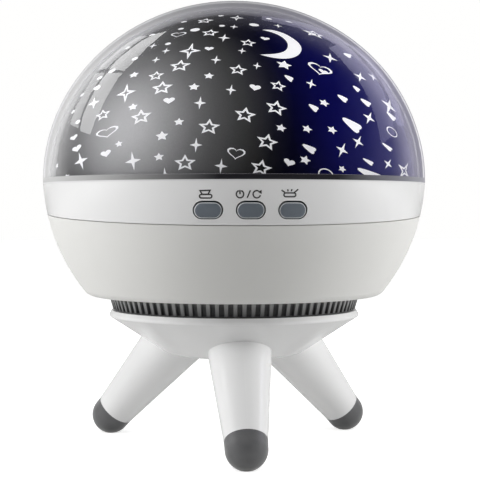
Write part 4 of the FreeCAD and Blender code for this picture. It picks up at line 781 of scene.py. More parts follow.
# %% [markdown]
# ## The printed sky
#
# The dome under the cover carries the night. Its film is black, with a painted highlight at
# one spot low on the left that fades evenly all round it, from pale grey through dark grey to
# black; towards the right the black print turns into deep blue. One ramp follows the distance
# from the painted highlight, another a slightly rising line from left to right, and its blue
# is added. A third adds painted lavender sheen towards the right rim. The depth is taken
# without its sign, so the far half of the dome is dressed like the near one, painted
# highlight included.

# %% Night film
HIGHLIGHT_SPOT = (-33.9 * MM, 46.7 * MM, 101.9 * MM)
HIGHLIGHT_REACH = 60 * MM
HIGHLIGHT_GREYS = ((0.00, 0.64), (0.09, 0.60), (0.165, 0.50), (0.25, 0.385), (0.34, 0.25), (0.44, 0.16),
         (0.53, 0.102), (0.62, 0.055), (0.71, 0.016), (0.80, 0.003))
BLUE_TILT, BLUE_LEVEL = 0.32, 112 * MM
SHEEN_START = 30 * MM
BLUES = ((0.50, (0.0, 0.0, 0.0)), (0.60, (0.0, 0.0, 0.020)), (0.70, (0.0, 0.0, 0.085)),
         (0.84, (0.0, 0.0, 0.120)), (1.00, (0.005, 0.004, 0.125)))
RIM_SHEEN_GREYS = ((0.0, (0.0, 0.0, 0.0)), (0.30, (0.010, 0.010, 0.010)), (0.60, (0.055, 0.053, 0.060)),
          (0.83, (0.150, 0.146, 0.170)), (1.0, (0.26, 0.255, 0.30)))

night = Finish("star_print")


def night_ramp(pattern, stops):
    """The colours of these stops, read along a pattern."""
    ramp = night.tree.nodes.new("ShaderNodeValToRGB")
    night.wire(pattern, ramp.inputs[0])
    marks = ramp.color_ramp.elements
    marks[1].position, marks[1].color = stops[-1][0], (*stops[-1][1], 1)
    marks[0].position, marks[0].color = stops[0][0], (*stops[0][1], 1)
    for share_along, colour in stops[1:-1]:
        marks.new(share_along).color = (*colour, 1)
    return ramp.outputs[0]


def night_vector(operation, first, second=None):
    step = night.tree.nodes.new("ShaderNodeVectorMath")
    step.operation = operation
    night.wire(first, step.inputs[0])
    if second:
        step.inputs[1].default_value = second
    return step


across = night_vector("DOT_PRODUCT", night.spot, (*(VIEW_RIGHT.xy), BLUE_TILT)).outputs["Value"]
level = BLUE_TILT * BLUE_LEVEL
along = night.spread(across, level - PRINT_EGG[0], level + PRINT_EGG[0], 0, 1)
unsigned = night.tree.nodes.new("ShaderNodeSeparateXYZ")
night.wire(night_vector("ABSOLUTE", night.spot).outputs[0], unsigned.inputs[0])
both_halves = night.tree.nodes.new("ShaderNodeCombineXYZ")
for letter, wire in (("X", night.axis("X")), ("Y", unsigned.outputs["Y"]), ("Z", night.axis("Z"))):
    night.wire(wire, both_halves.inputs[letter])
away = night_vector("DISTANCE", both_halves.outputs[0], HIGHLIGHT_SPOT).outputs["Value"]
# painted highlight: pale grey round one spot, fading to black
highlight_fade = night.spread(away, 0, HIGHLIGHT_REACH, 0, 1)
print("night film with", len(HIGHLIGHT_GREYS), "greys and", len(BLUES), "blues")

# %% [markdown]
# ## Adding the night up
#
# The painted highlight, the blue print and the painted sheen at the rim are all light on a
# black film, so they are added. A fine speckle, as ink leaves it, multiplies the sum. The film
# itself is only silky, because the shine on the lamp belongs to the clear dome in front of it.

# %% Dress the film
def night_mix(blend_type, first, second):
    mix = night.tree.nodes.new("ShaderNodeMix")
    mix.data_type, mix.blend_type = "RGBA", blend_type
    mix.inputs["Factor"].default_value = 1
    night.wire(first, mix.inputs[6])
    night.wire(second, mix.inputs[7])
    return mix.outputs[2]


painted_highlight = night_ramp(highlight_fade, [(place, (grey, grey, grey)) for place, grey in HIGHLIGHT_GREYS])
speckle = night.between(night.grain(0.5 * MM, 2), (0.90, 0.90, 0.90), (1.06, 1.06, 1.06))
sideways = night_vector("DOT_PRODUCT", night.spot, VIEW_RIGHT).outputs["Value"]
# painted sheen: a lavender grey growing towards the right rim
painted_rim_sheen = night_ramp(night.spread(sideways, SHEEN_START, PRINT_EGG[0], 0, 1), RIM_SHEEN_GREYS)
# blue print plus painted highlight and painted sheen
print_and_painted_light = night_mix("ADD", night_mix("ADD", painted_highlight, night_ramp(along, BLUES)), painted_rim_sheen)
night.paint(night_mix("MULTIPLY", print_and_painted_light, speckle))
night.set(Specular_IOR_Level=0.06)
night.gloss(night.grain(6 * MM), 0.40, 0.52).relief(night.grain(0.35 * MM), 0.004 * MM)
print("the night film is mixed from", len(night.tree.nodes), "nodes")

# %% [markdown]
# ## Metals
#
# Screws, the motor can, the battery contacts and the socket pin are small, yet they show
# when the cover is off or the lamp is turned over. Steel screws are zinc plated with a
# cloudy bloom, nickel is cleaner, and brass is yellow. A metal is told by its bright mirror
# and by the direction of its scratches, so the noise is stretched along the drawn direction.

# %% Steel, nickel and brass
def metal_finish(slot, dark, light, smooth, rough, stretch):
    metal = Finish(slot, metal=1.0)
    bloom = metal.grain(1.3 * MM, 3)
    metal.paint(metal.between(bloom, dark, light))
    scratches = metal.grain(0.5 * MM, 4, stretch=stretch)
    metal.gloss(scratches, smooth, rough).relief(scratches, 0.004 * MM)


metal_finish("screw_steel", (0.50, 0.50, 0.52), (0.68, 0.68, 0.70), 0.24, 0.42, (1, 1, 4))
metal_finish("motor_steel", (0.55, 0.55, 0.56), (0.70, 0.70, 0.71), 0.18, 0.34, (1, 1, 0.15))
metal_finish("contact_nickel", (0.62, 0.59, 0.53), (0.74, 0.71, 0.66), 0.16, 0.30, (4, 1, 1))
metal_finish("pin_brass", (0.66, 0.47, 0.20), (0.82, 0.62, 0.30), 0.15, 0.30, (1, 0.15, 1))
print("metals done,", len(finishes), "finishes")

# %% [markdown]
# ## What lies inside
#
# The circuit boards are green laminate with the weave of the glass cloth just visible. The
# bearing bush is a tan, self-lubricating plastic with darker flecks. The cells wear a plain
# dark sleeve with a copper coloured end, the leads have smooth insulation, and chips and
# plugs are black.

# %% Boards, bearing, cells, leads and black parts
CLOTH_STEP = 1.1 * MM
laminate = Finish("circuit_green")
weave = laminate.tree.nodes.new("ShaderNodeTexBrick")
weave.inputs["Scale"].default_value = 1 / CLOTH_STEP
weave.inputs["Mortar Size"].default_value = 0.03
weave.inputs["Color1"].default_value = (0.018, 0.130, 0.050, 1)
weave.inputs["Color2"].default_value = (0.022, 0.155, 0.060, 1)
weave.inputs["Mortar"].default_value = (0.030, 0.190, 0.080, 1)
laminate.wire(laminate.spot, weave.inputs["Vector"])
laminate.paint(weave.outputs["Color"])
laminate.gloss(laminate.grain(3 * MM), 0.22, 0.34).relief(weave.outputs["Fac"], 0.006 * MM)

bush = Finish("bush_tan")
flecks = bush.spread(bush.cells(0.3 * MM), 0.05, 0.3, 0, 1)
bush.paint(bush.between(flecks, (0.30, 0.19, 0.09), (0.52, 0.36, 0.20)))
bush.gloss(bush.grain(1 * MM), 0.34, 0.48).relief(flecks, 0.02 * MM)

SLEEVE_END, SLEEVE_BLUR = 9 * MM, 0.2 * MM
sleeve = Finish("cell_wrap")
copper_end = sleeve.spread(sleeve.axis("Y"), SLEEVE_END, SLEEVE_END + SLEEVE_BLUR, 0, 1)
sleeve.paint(sleeve.between(copper_end, (0.016, 0.018, 0.021), (0.52, 0.27, 0.12)))
sleeve.gloss(sleeve.grain(5 * MM), 0.20, 0.32).relief(sleeve.grain(2 * MM), 0.01 * MM)

insulation = Finish("lead_red")
reds = insulation.between(insulation.grain(6 * MM), (0.42, 0.022, 0.018), (0.55, 0.035, 0.028))
insulation.paint(reds)
insulation.gloss(insulation.grain(2 * MM), 0.30, 0.42).relief(insulation.grain(0.4 * MM), 0.01 * MM)

black = Finish("black_plastic")
black.paint(black.between(black.grain(2 * MM), (0.013, 0.013, 0.014), (0.026, 0.026, 0.028)))
black.gloss(black.grain(1.5 * MM), 0.38, 0.52).relief(black.grain(0.25 * MM), 0.014 * MM)
print("all", len(finishes), "finishes are on the bench")

# %% [markdown]
# ## Dressing the parts
#
# Each part came with a plain material that carries the name of its finish. Putting our own
# material into that slot dresses it, and the shape stays as the CAD model has it.

# %% Dress every part
for name, part in sorted(lamp.items()):
    wanted = part.data.materials[0].name.split(".")[0]
    part.data.materials[0] = finishes[wanted]
print("dressed", len(lamp), "parts in", len(finishes), "finishes")

# %% [markdown]
# ## Drawing one printed figure
#
# The print has five kinds of figure: five-pointed stars, sparkles with four thin rays,
# hearts, dots and one moon. Each is a closed outline in its own flat square, one unit from
# the middle to the sides. Stars, hearts and dots are lower than wide, as the stretched film
# shows them. Some are filled and some are only drawn round, and a drawn one is the same
# outline twice, the inner one smaller. Text symbols or a texture would be quicker, yet an
# outline gives the sharp edge that a film print has, at any distance.

# %% Outlines
def star_outline(waist=0.47, low=0.76):
    """Five tips and five notches, starting at the top."""
    corners = []
    for step in range(10):
        reach = waist if step % 2 else 1
        angle = math.pi / 2 + step * math.pi / 5
        corners.append((reach * math.cos(angle), reach * math.sin(angle) * low))
    return corners


def sparkle_outline(waist=0.28, tall=1.18):
    """Four thin rays, the upright ones longer."""
    corners = []
    for step in range(8):
        reach = waist if step % 2 else 1
        angle = math.pi / 2 + step * math.pi / 4
        corners.append((reach * math.cos(angle), reach * math.sin(angle) * tall))
    return corners


def heart_outline(steps=20, low=0.72):
    corners = []
    for step in range(steps):
        turn = 2 * math.pi * (step + 0.5) / steps
        dip = 13 * math.cos(turn) - 5 * math.cos(2 * turn) - 2 * math.cos(3 * turn)
        rise = (dip - math.cos(4 * turn) + 2.5) / 17
        corners.append((-math.sin(turn) ** 3, rise * low))
    return corners


def drop_outline(wide):
    """A long heart from its tip, at 0, to its blunt end, at 1, this wide in all."""
    bulges = ((0.0, 0.12), (0.08, 0.36), (0.28, 0.60), (0.50, 0.78), (0.72, 0.95), (0.88, 1.0),
              (0.97, 0.84), (1.0, 0.45))
    upper = [(along, bulge * wide / 2) for along, bulge in bulges]
    return upper + [(0.94, 0)] + [(along, -half) for along, half in reversed(upper)]


def round_outline(steps=14, low=0.70):
    turns = [2 * math.pi * step / steps for step in range(steps)]
    return [(math.cos(turn), math.sin(turn) * low) for turn in turns]


print("a star has", len(star_outline()), "corners, a heart", len(heart_outline()))

# %% [markdown]
# ## Pressing a figure onto the dome
#
# A flat figure has to lie on a round dome without a gap and without sinking in. Each figure
# gets a small frame where its line of sight meets the dome: straight out, upright along the
# dome, and to the right. Its corners are laid out in that frame and then pressed straight
# in, until they are a hair above the film. Two things come from the stretching of the film:
# outer figures are wider, and all lean, a little to the left at the left rim and strongly
# to the right at the right rim. A shrinkwrap modifier would do the pressing too, but would
# leave hundreds of tiny faces to follow flat facets.

# %% Pressing tools
PRINT_PROUD = 0.08 * MM
UPRIGHT_COLUMN = 190
LEAN_A_PIXEL = math.radians(0.19)
MOST_WIDE = 1.8


def pressed(place):
    """The point of the printed film straight below or above a place, a hair proud of it."""
    inside = squeezed(place - EGG_MIDDLE, PRINT_EGG)
    film = EGG_MIDDLE + (place - EGG_MIDDLE) / inside.length
    return film + egg_slope(film, PRINT_EGG) * PRINT_PROUD


def film_frame(place):
    """To the right, stretched as the film is, and upright along the film at a place on it."""
    out = egg_slope(place, PRINT_EGG)
    upright = (Vector((0, 0, 1)) - out * out.z).normalized()
    facing = abs(Vector((out.x, out.y, 0)).normalized().dot(TO_VIEWER))
    return upright.cross(out) * min(MOST_WIDE, 1 / max(0.1, facing)), upright


def lay_out(outline, place, size, lean):
    """The corners of a figure of this size, pressed onto the film round a place."""
    right, upright = film_frame(place)
    turn = Matrix.Rotation(lean, 2)
    flat = [turn @ Vector(corner) * size for corner in outline]
    return [pressed(place + right * spot.x + upright * spot.y) for spot in flat]


def add_filled(sheet, outline, place, size, lean=0.0):
    rim = [sheet.verts.new(corner) for corner in lay_out(outline, place, size, lean)]
    middle = sheet.verts.new(pressed(place))
    for here, after in zip(rim, rim[1:] + rim[:1]):
        sheet.faces.new((middle, here, after))


def add_drawn(sheet, outline, place, size, lean=0.0, hole=0.57):
    """The outline as a line that leaves a hole of this share of the size."""
    inside = [(across * hole, up * hole) for across, up in outline]
    outer = [sheet.verts.new(corner) for corner in lay_out(outline, place, size, lean)]
    inner_rim = [sheet.verts.new(corner) for corner in lay_out(inside, place, size, lean)]
    for step in range(len(outer)):
        after = (step + 1) % len(outer)
        sheet.faces.new((outer[step], outer[after], inner_rim[after], inner_rim[step]))


print("figures are pressed to", round(PRINT_PROUD / MM, 2), "mm above the film")

# %% [markdown]
# ## The print of the front
#
# The lists below name the middle of each figure by its pixel in the photograph, sorted by
# kind and size. Sizes are real ones, in millimetres from the middle to the sides. One list
# for all would need a size and a kind at every entry; sorted lists stay short and are easy
# to check against the picture. On the right the film is stretched so far that hearts have
# become long drops; these are picked by tip and blunt end, with their width as a share of
# the length. The moon is the one large figure, so its two edges are picked point by point
# from tip to tip, and cutting the corners twice rounds them.

# %% Where the figures are
DRAWN_STARS = {
    3.3: [(180, 66), (162, 88), (141, 117), (209, 127), (185, 163), (245, 115), (276, 108),
          (267, 142), (261, 168), (314, 34)],
    2.8: [(210, 33), (238, 70), (205, 21)],
    2.5: [(156, 76), (278, 86), (103, 115), (248, 43)],
}
DRAWN_SPARKLES = {3.3: [(190, 51)], 3.0: [(126, 93), (404, 171)], 2.2: [(237, 18)]}
FLAT_HEARTS = {3.7: [(107, 133)]}
DRAWN_HEARTS = {3.7: [(320, 70)], 2.7: [(236, 154)], 2.4: [(178, 35), (347, 47)]}
DRAWN_RINGS = {2.5: [(326, 175)], 2.0: [(392, 132)]}
SPARKLES = {
    3.0: [(389, 106)],
    2.45: [(133, 161), (81, 161)],
    2.2: [(330, 58)],
    2.0: [(369, 118), (342, 150), (360, 77)],
    1.85: [(200, 103), (196, 145), (221, 166), (94, 103), (165, 175), (224, 38), (373, 77),
           (358, 142)],
    1.6: [(231, 90), (216, 60), (311, 84), (388, 164)],
    1.3: [(257, 66), (156, 60), (166, 51), (153, 46), (242, 51), (278, 26), (234, 27)],
}
STARS = {
    2.4: [(284, 65)],
    2.0: [(162, 136)],
    1.75: [(194, 87), (305, 160)],
    1.6: [(209, 76), (179, 122), (159, 157), (133, 107), (134, 75), (324, 103), (281, 128),
          (307, 129), (332, 130)],
    1.3: [(119, 144), (67, 177), (57, 166), (342, 169)],
}
HEARTS = {
    1.7: [(169, 101), (106, 154), (77, 149), (255, 88), (289, 163)],
    1.4: [(209, 49), (265, 39), (74, 138), (323, 72)],
}
LONG_HEARTS = [
    ((342.5, 118.1), (360, 130.6), 0.40), ((357.5, 168.5), (381, 180), 0.32),
    ((302.5, 144.5), (315, 152), 0.44), ((308.8, 104.5), (317.5, 110.5), 0.50),
    ((284.5, 75.5), (292.5, 80.5), 0.48), ((337.5, 95), (346.7, 101.3), 0.42),
    ((360.6, 99), (370, 105.6), 0.40), ((362.9, 158.5), (372.7, 164.4), 0.34),
    ((386.5, 111.9), (395, 120.2), 0.32), ((382.2, 143.1), (391.5, 150.6), 0.30),
    ((343.4, 53.5), (351, 56.9), 0.46), ((352.9, 86), (359.1, 91.2), 0.44),
]
DOTS = {
    1.5: [(195, 30), (254, 25)],
    1.15: [(112, 71), (97, 88)],
    0.9: [(222, 26), (221, 16), (184, 22), (174, 20), (243, 12), (257, 13), (156, 27), (181, 29),
          (168, 44), (135, 59), (100, 78), (152, 35), (138, 37), (127, 48), (101, 63), (82, 95),
          (73, 112), (78, 122), (289, 22), (308, 23), (269, 19), (300, 18), (240, 176), (313, 34)],
}
MOON_OUTSIDE = [(262, 30), (270, 29.8), (278, 31.5), (285, 34), (292, 38), (297.5, 42), (301, 46.5),
                (301.6, 50.5), (298.5, 55.5), (291, 58.5), (281, 59), (270, 57.4), (260, 54.8)]
MOON_INSIDE = [(262, 30), (268, 31.4), (274.4, 33.4), (280, 35.9), (284.4, 39.1), (287.2, 42.5),
               (288.1, 45.8), (287, 49.4), (283.8, 51.9), (279.4, 53.3), (273, 54.3),
               (266.3, 54.5), (260, 54.8)]
kinds = (DRAWN_STARS, DRAWN_SPARKLES, FLAT_HEARTS, DRAWN_HEARTS, DRAWN_RINGS, SPARKLES, STARS,
         HEARTS, DOTS)
listed = sum(len(spots) for kind in kinds for spots in kind.values())
print("figures picked:", listed + len(LONG_HEARTS) + 1)

# %% [markdown]
# ## White ink
#
# White print on dark film is given a painted glow, a small emission, though no lamp is lit
# inside. It is weaker near the edge of the band, as painted shade where the band shades the
# lowest figures.

# %% Ink
GLOW_LOW, GLOW_HIGH = 0.20, 0.52
BAND_SHADES = 24 * MM

glow_white = Finish("figure_white", roughness=0.45)
ink = glow_white.between(glow_white.grain(1.5 * MM), (0.84, 0.84, 0.86), (0.92, 0.92, 0.93))
glow_white.paint(ink)
shade = (DOME_BASE, DOME_BASE + BAND_SHADES)
# painted glow, weaker low down as painted shade under the band
glow = glow_white.spread(glow_white.axis("Z"), *shade, GLOW_LOW, GLOW_HIGH)
glow_white.wire(glow, glow_white.shader.inputs["Emission Strength"])
glow_white.set(Emission_Color=WHITE_LIGHT)
glow_white.gloss(glow_white.grain(3 * MM), 0.40, 0.52)
print("the ink glows from", GLOW_LOW, "to", GLOW_HIGH)

# %% [markdown]
# ## Printing both halves
#
# All figures of one kind go into one mesh, because one print pass made them. The photograph
# shows the front half only. The back half gets the same figures turned half way round, as a
# repeat of the film would. An array modifier could turn them too, but it would also repeat
# the figures at the sides, which share the mesh, so we copy the faces of the front alone.

# %% One kind, one mesh
def print_kind(name, draw_front, draw_sides=None):
    """One mesh for one kind of figure: the front, the same turned half round, the sides."""
    sheet = bmesh.new()
    draw_front(sheet)
    front = sheet.verts[:] + sheet.edges[:] + sheet.faces[:]
    again = bmesh.ops.duplicate(sheet, geom=front)["geom"]
    turned = [item for item in again if isinstance(item, bmesh.types.BMVert)]
    bmesh.ops.rotate(sheet, verts=turned, cent=(0, 0, 0), matrix=Matrix.Rotation(math.pi, 3, "Z"))
    if draw_sides:
        draw_sides(sheet)
    mesh = bpy.data.meshes.new(name)
    sheet.to_mesh(mesh)
    sheet.free()
    for face in mesh.polygons:
        face.use_smooth = True
    mesh.materials.append(glow_white.material)
    figures = placed(name, mesh)
    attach(figures, "turntable")
    print(name, "has", len(mesh.polygons), "faces")


def each_spot(kind):
    """Place, size and lean of every figure in a list."""
    for size, spots in kind.items():
        for spot in spots:
            lean = (UPRIGHT_COLUMN - spot[0]) * LEAN_A_PIXEL
            yield seen_on_egg(spot, PRINT_EGG), size * MM, lean


leftmost_lean = math.degrees(UPRIGHT_COLUMN * LEAN_A_PIXEL)
print("a figure at the picture's left edge would lean", round(leftmost_lean), "degrees")

# %% [markdown]
# ## Places left at the sides
#
# In two strips at the sides both halves of the print run out. Places there are drawn by
# chance, from a fixed seed, so that each run gives the same lamp. A place is kept where no
# other figure is near, and each picked figure also takes the place half way round from it.

# %% Fill the side strips
SIDE_SEED, SIDE_TRIES = 7, 900
SIDE_SWEEP, SIDE_LIFT = (-8, 34), (3, 66)
FIGURE_ROOM, MOON_ROOM, SIDE_ROOM = 5.2 * MM, 10 * MM, 7.5 * MM
MOON_CENTRE = (284, 45)

picked = [place for kind in kinds for place, size, lean in each_spot(kind)]
picked += [seen_on_egg(end, PRINT_EGG) for tip, end, wide in LONG_HEARTS]
moon_middle = seen_on_egg(MOON_CENTRE, PRINT_EGG)
taken = [(place, FIGURE_ROOM) for place in picked] + [(moon_middle, MOON_ROOM)]
taken += [(Vector((-place.x, -place.y, place.z)), reach) for place, reach in taken]
chance = random.Random(SIDE_SEED)
side_spots = []
for attempt in range(SIDE_TRIES):
    to_the_back = chance.uniform(*SIDE_SWEEP)
    side = chance.choice((to_the_back, 180 - to_the_back))
    angle = math.radians(side) + CAMERA_TURN
    lift = math.radians(chance.uniform(*SIDE_LIFT))
    flat = math.cos(lift) * PRINT_EGG[0]
    place = EGG_MIDDLE + Vector(
        (flat * math.cos(angle), flat * math.sin(angle), math.sin(lift) * PRINT_EGG[1])
    )
    if all((place - other).length > reach for other, reach in taken):
        side_spots.append(place)
        taken.append((place, SIDE_ROOM))
print("side strips take", len(side_spots), "more figures")

# %% [markdown]
# ## From lists to figures
#
# Most kinds are one outline at each place of a list. Drops are laid out in the picture
# itself, between their two picked pixels, because the film is stretched most there and a
# flat figure would miss that. The moon is a strip of faces between its two edges.

# %% Lists, drops and the moon
SPARKLE_HOLE, HEART_HOLE, RING_HOLE = 0.45, 0.80, 0.84
DROP_CORE = 0.6


def add_listed(sheet, kind, outline, add=add_filled, **more):
    """Every figure of a list, filled unless drawing is asked for."""
    for place, size, lean in each_spot(kind):
        add(sheet, outline, place, size, lean, **more)


def add_at_sides(sheet, turn, outline, size, add=add_filled):
    """One figure at every third place of the side strips, from this turn on."""
    for place in side_spots[turn::3]:
        add(sheet, outline, place, size)


def print_drop(sheet, tip, end, wide):
    """A drop laid out in the picture, between two pixels, and pressed on along the sight."""
    across, down = end[0] - tip[0], end[1] - tip[1]
    spots = [
        (tip[0] + across * along - down * side, tip[1] + down * along + across * side)
        for along, side in drop_outline(wide)
    ]
    rim = [sheet.verts.new(pressed(seen_on_egg(spot, PRINT_EGG))) for spot in spots]
    core = (tip[0] + across * DROP_CORE, tip[1] + down * DROP_CORE)
    middle = sheet.verts.new(pressed(seen_on_egg(core, PRINT_EGG)))
    for here, after in zip(rim, rim[1:] + rim[:1]):
        sheet.faces.new((middle, here, after))


def print_hearts(sheet):
    add_listed(sheet, HEARTS, heart_outline())
    for tip, end, wide in LONG_HEARTS:
        print_drop(sheet, tip, end, wide)
    add_listed(sheet, FLAT_HEARTS, heart_outline(low=0.50), add_drawn, hole=HEART_HOLE)
    add_listed(sheet, DRAWN_HEARTS, heart_outline(), add_drawn, hole=HEART_HOLE)


def print_dots(sheet):
    add_listed(sheet, DOTS, round_outline())
    add_listed(sheet, DRAWN_RINGS, round_outline(22), add_drawn, hole=RING_HOLE)


def rounded(points):
    """The same line with every corner but its two ends cut off."""
    cut = [points[0]]
    for (x, y), (next_x, next_y) in zip(points, points[1:]):
        cut.append((x * 0.75 + next_x * 0.25, y * 0.75 + next_y * 0.25))
        cut.append((x * 0.25 + next_x * 0.75, y * 0.25 + next_y * 0.75))
    return cut + [points[-1]]


def print_moon(sheet):
    """Two edges from tip to tip, with the tips shared, and a strip of faces between them."""
    edges = []
    for line in (MOON_OUTSIDE, MOON_INSIDE):
        spots = [seen_on_egg(pixel, PRINT_EGG) for pixel in rounded(rounded(line))]
        edges.append([sheet.verts.new(pressed(spot)) for spot in spots])
    outside, inside = edges
    for end in (0, -1):
        sheet.verts.remove(inside[end])
        inside[end] = outside[end]
    for step in range(len(outside) - 1):
        corners = [outside[step], outside[step + 1], inside[step + 1], inside[step]]
        sheet.faces.new(list(dict.fromkeys(corners)))


print("the moon has", len(rounded(rounded(MOON_OUTSIDE))), "points on its outer edge")

# %% [markdown]
# ## The seven prints
#
# Each call makes one mesh. Three kinds also fill the side strips and take every third place
# there in turn, so that the kinds stay mixed.

# %% Print every kind
SIDE_DRAWN_STAR, SIDE_STAR, SIDE_SPARKLE = 3.0 * MM, 1.7 * MM, 2.1 * MM

print_kind(
    "drawn_stars",
    lambda sheet: add_listed(sheet, DRAWN_STARS, star_outline(), add_drawn),
    lambda sheet: add_at_sides(sheet, 1, star_outline(), SIDE_DRAWN_STAR, add_drawn),
)
print_kind(
    "filled_stars",
    lambda sheet: add_listed(sheet, STARS, star_outline(0.5)),
    lambda sheet: add_at_sides(sheet, 0, star_outline(0.5), SIDE_STAR),
)
print_kind(
    "sparkles",
    lambda sheet: add_listed(sheet, SPARKLES, sparkle_outline()),
    lambda sheet: add_at_sides(sheet, 2, sparkle_outline(), SIDE_SPARKLE),
)
print_kind(
    "drawn_sparkles",
    lambda sheet: add_listed(
        sheet, DRAWN_SPARKLES, sparkle_outline(0.30), add_drawn, hole=SPARKLE_HOLE
    ),
)
print_kind("hearts", print_hearts)
print_kind("dots", print_dots)
print_kind("moon", print_moon)

# %% [markdown]
# ## Three keys with round edges
#
# The keys are soft grey caps in three windows of the band. On the real ones the edge of the
# face is rounded, and here it carries a painted highlight, paler than the face; each key sits
# a little low in its window, which leaves a dark gap above it. The CAD keys are straight cut,
# so each is replaced by a key of the same size built from rings: stem, flange, sides,
# rounding, face.
# A bevel modifier would round the CAD key too, but also its flange, and it would leave the
# face without its slight crown.

# %% Sizes of a key
BALL_RADIUS = 62.6 * MM
BALL_MIDDLE = Vector((0, 0, 89.2 * MM))
KEY_HEIGHT = 76.7 * MM
KEY_COLUMNS = {"left": -12.15 * MM, "middle": 0.0, "right": 12.15 * MM}
KEY_LENGTH, KEY_WIDTH = 8.2 * MM, 4.9 * MM
KEY_SAG = 0.12 * MM
FLANGE_FRONT, FLANGE_BACK, STEM_BACK = -55.4 * MM, -54.2 * MM, -53.4 * MM
FLANGE_REACH, STEM_RADIUS = 0.8 * MM, 1.7 * MM
EDGE_RINGS = ((0.17, 0.62), (0.19, 0.36), (0.27, 0.14), (0.42, 0.02), (0.62, -0.04))
CROWN_RINGS = ((1.1, -0.09), (1.7, -0.12), (2.2, -0.13))
KEY_ROOT = 0.3 * MM
KEY_STEPS = 16
HIGHLIGHT_RINGS = (6, 8)
CREASE = math.radians(50)
print("a key has", len(EDGE_RINGS), "rings round its edge and", len(CROWN_RINGS), "on its crown")

# %% [markdown]
# ## The highlighted edge
#
# The edge of each soft cap is given a painted highlight: it is paler and shinier than the
# face. So it gets a finish of its own, on two rings of faces alone. A colour that follows the
# slope would be the other way, but it would colour the flange as well.

# %% Pale edge
key_edge = Finish("key_edge")
key_edge.set(Coat_Weight=0.5, Coat_Roughness=0.1)
key_edge.paint(key_edge.between(key_edge.grain(0.8 * MM), (0.62, 0.64, 0.67), (0.84, 0.86, 0.88)))
key_edge.gloss(key_edge.grain(0.5 * MM), 0.22, 0.36)
print("the edge finish joins", len(finishes) - 1, "others")

# %% [markdown]
# ## Ring by ring
#
# A key is a stack of rings with round ends: out along the stem, over the flange, up the
# sides, round the edge and onto the crown. The face follows the ball of the housing, so each
# point of the upper rings takes its depth from that ball.

# %% Build the keys
def ball_front(across, height):
    """How far forward the outside of the housing is at a place on it."""
    up = height - BALL_MIDDLE.z
    return -math.sqrt(BALL_RADIUS**2 - across**2 - up**2)


def key_loop(length, width, steps=KEY_STEPS):
    """Places across and up on the edge of a key shape with round ends."""
    round_end, straight = width / 2, (length - width) / 2
    loop = []
    for step in range(2 * steps):
        side = 1 if step < steps else -1
        angle = -math.pi / 2 + math.pi * (step % steps) / (steps - 1)
        reach = straight + round_end * math.cos(angle)
        loop.append((side * reach, side * round_end * math.sin(angle)))
    return loop


def key_piece(name, middle):
    """One key: rings from the back of its stem to the crown of its face, joined by faces."""
    cap = bmesh.new()
    stem = key_loop(2 * STEM_RADIUS, 2 * STEM_RADIUS)
    flange = key_loop(KEY_LENGTH + 2 * FLANGE_REACH, KEY_WIDTH + 2 * FLANGE_REACH)
    root = key_loop(KEY_LENGTH - KEY_ROOT, KEY_WIDTH - KEY_ROOT)
    rings = [
        (stem, STEM_BACK), (stem, FLANGE_BACK), (flange, FLANGE_BACK), (flange, FLANGE_FRONT),
        (root, FLANGE_FRONT),
    ]
    made = []
    for loop, depth in rings:
        made.append([cap.verts.new((middle + a, depth, KEY_HEIGHT + u)) for a, u in loop])
    for inset, sink in EDGE_RINGS + CROWN_RINGS:
        ring = []
        for a, u in key_loop(KEY_LENGTH - 2 * inset * MM, KEY_WIDTH - 2 * inset * MM):
            place = (middle + a, KEY_HEIGHT - KEY_SAG + u)
            ring.append(cap.verts.new((place[0], ball_front(*place) + sink * MM, place[1])))
        made.append(ring)
    for lower, upper in zip(made, made[1:]):
        for step in range(len(lower)):
            after = (step + 1) % len(lower)
            cap.faces.new((lower[step], lower[after], upper[after], upper[step]))
    cap.faces.new(made[-1])
    cap.faces.new(list(reversed(made[0])))
    bmesh.ops.recalc_face_normals(cap, faces=cap.faces[:])
    mesh = bpy.data.meshes.new(f"key_{name}")
    cap.to_mesh(mesh)
    cap.free()
    for face in mesh.polygons:
        face.use_smooth = True
    mesh.set_sharp_from_angle(angle=CREASE)
    mesh.materials.append(finishes["button_grey"])
    mesh.materials.append(key_edge.material)
    # the faces of the edge rings get the painted highlight
    pale_start, pale_stop = (ring * len(stem) for ring in HIGHLIGHT_RINGS)
    for face in mesh.polygons[pale_start:pale_stop]:
        face.material_index = 1
    key = placed(f"key_{name}", mesh)
    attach(key, f"key_{name}")
    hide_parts(f"button_{name}")
    return key


for name, middle in KEY_COLUMNS.items():
    print(key_piece(name, middle).name, "is", round(KEY_LENGTH / MM, 1), "mm long")

# %% [markdown]
# ## Signs over the keys
#
# Over each key is a small dark sign, printed in fine lines: a lamp that throws its light up,
# on and off with a turning arrow, and a lamp with rays. Each line is picked in the
# photograph and laid on the housing as a flat ribbon, a hair proud of it. A curve with a
# bevel would be quicker, but its round wire would stand up like a weld.

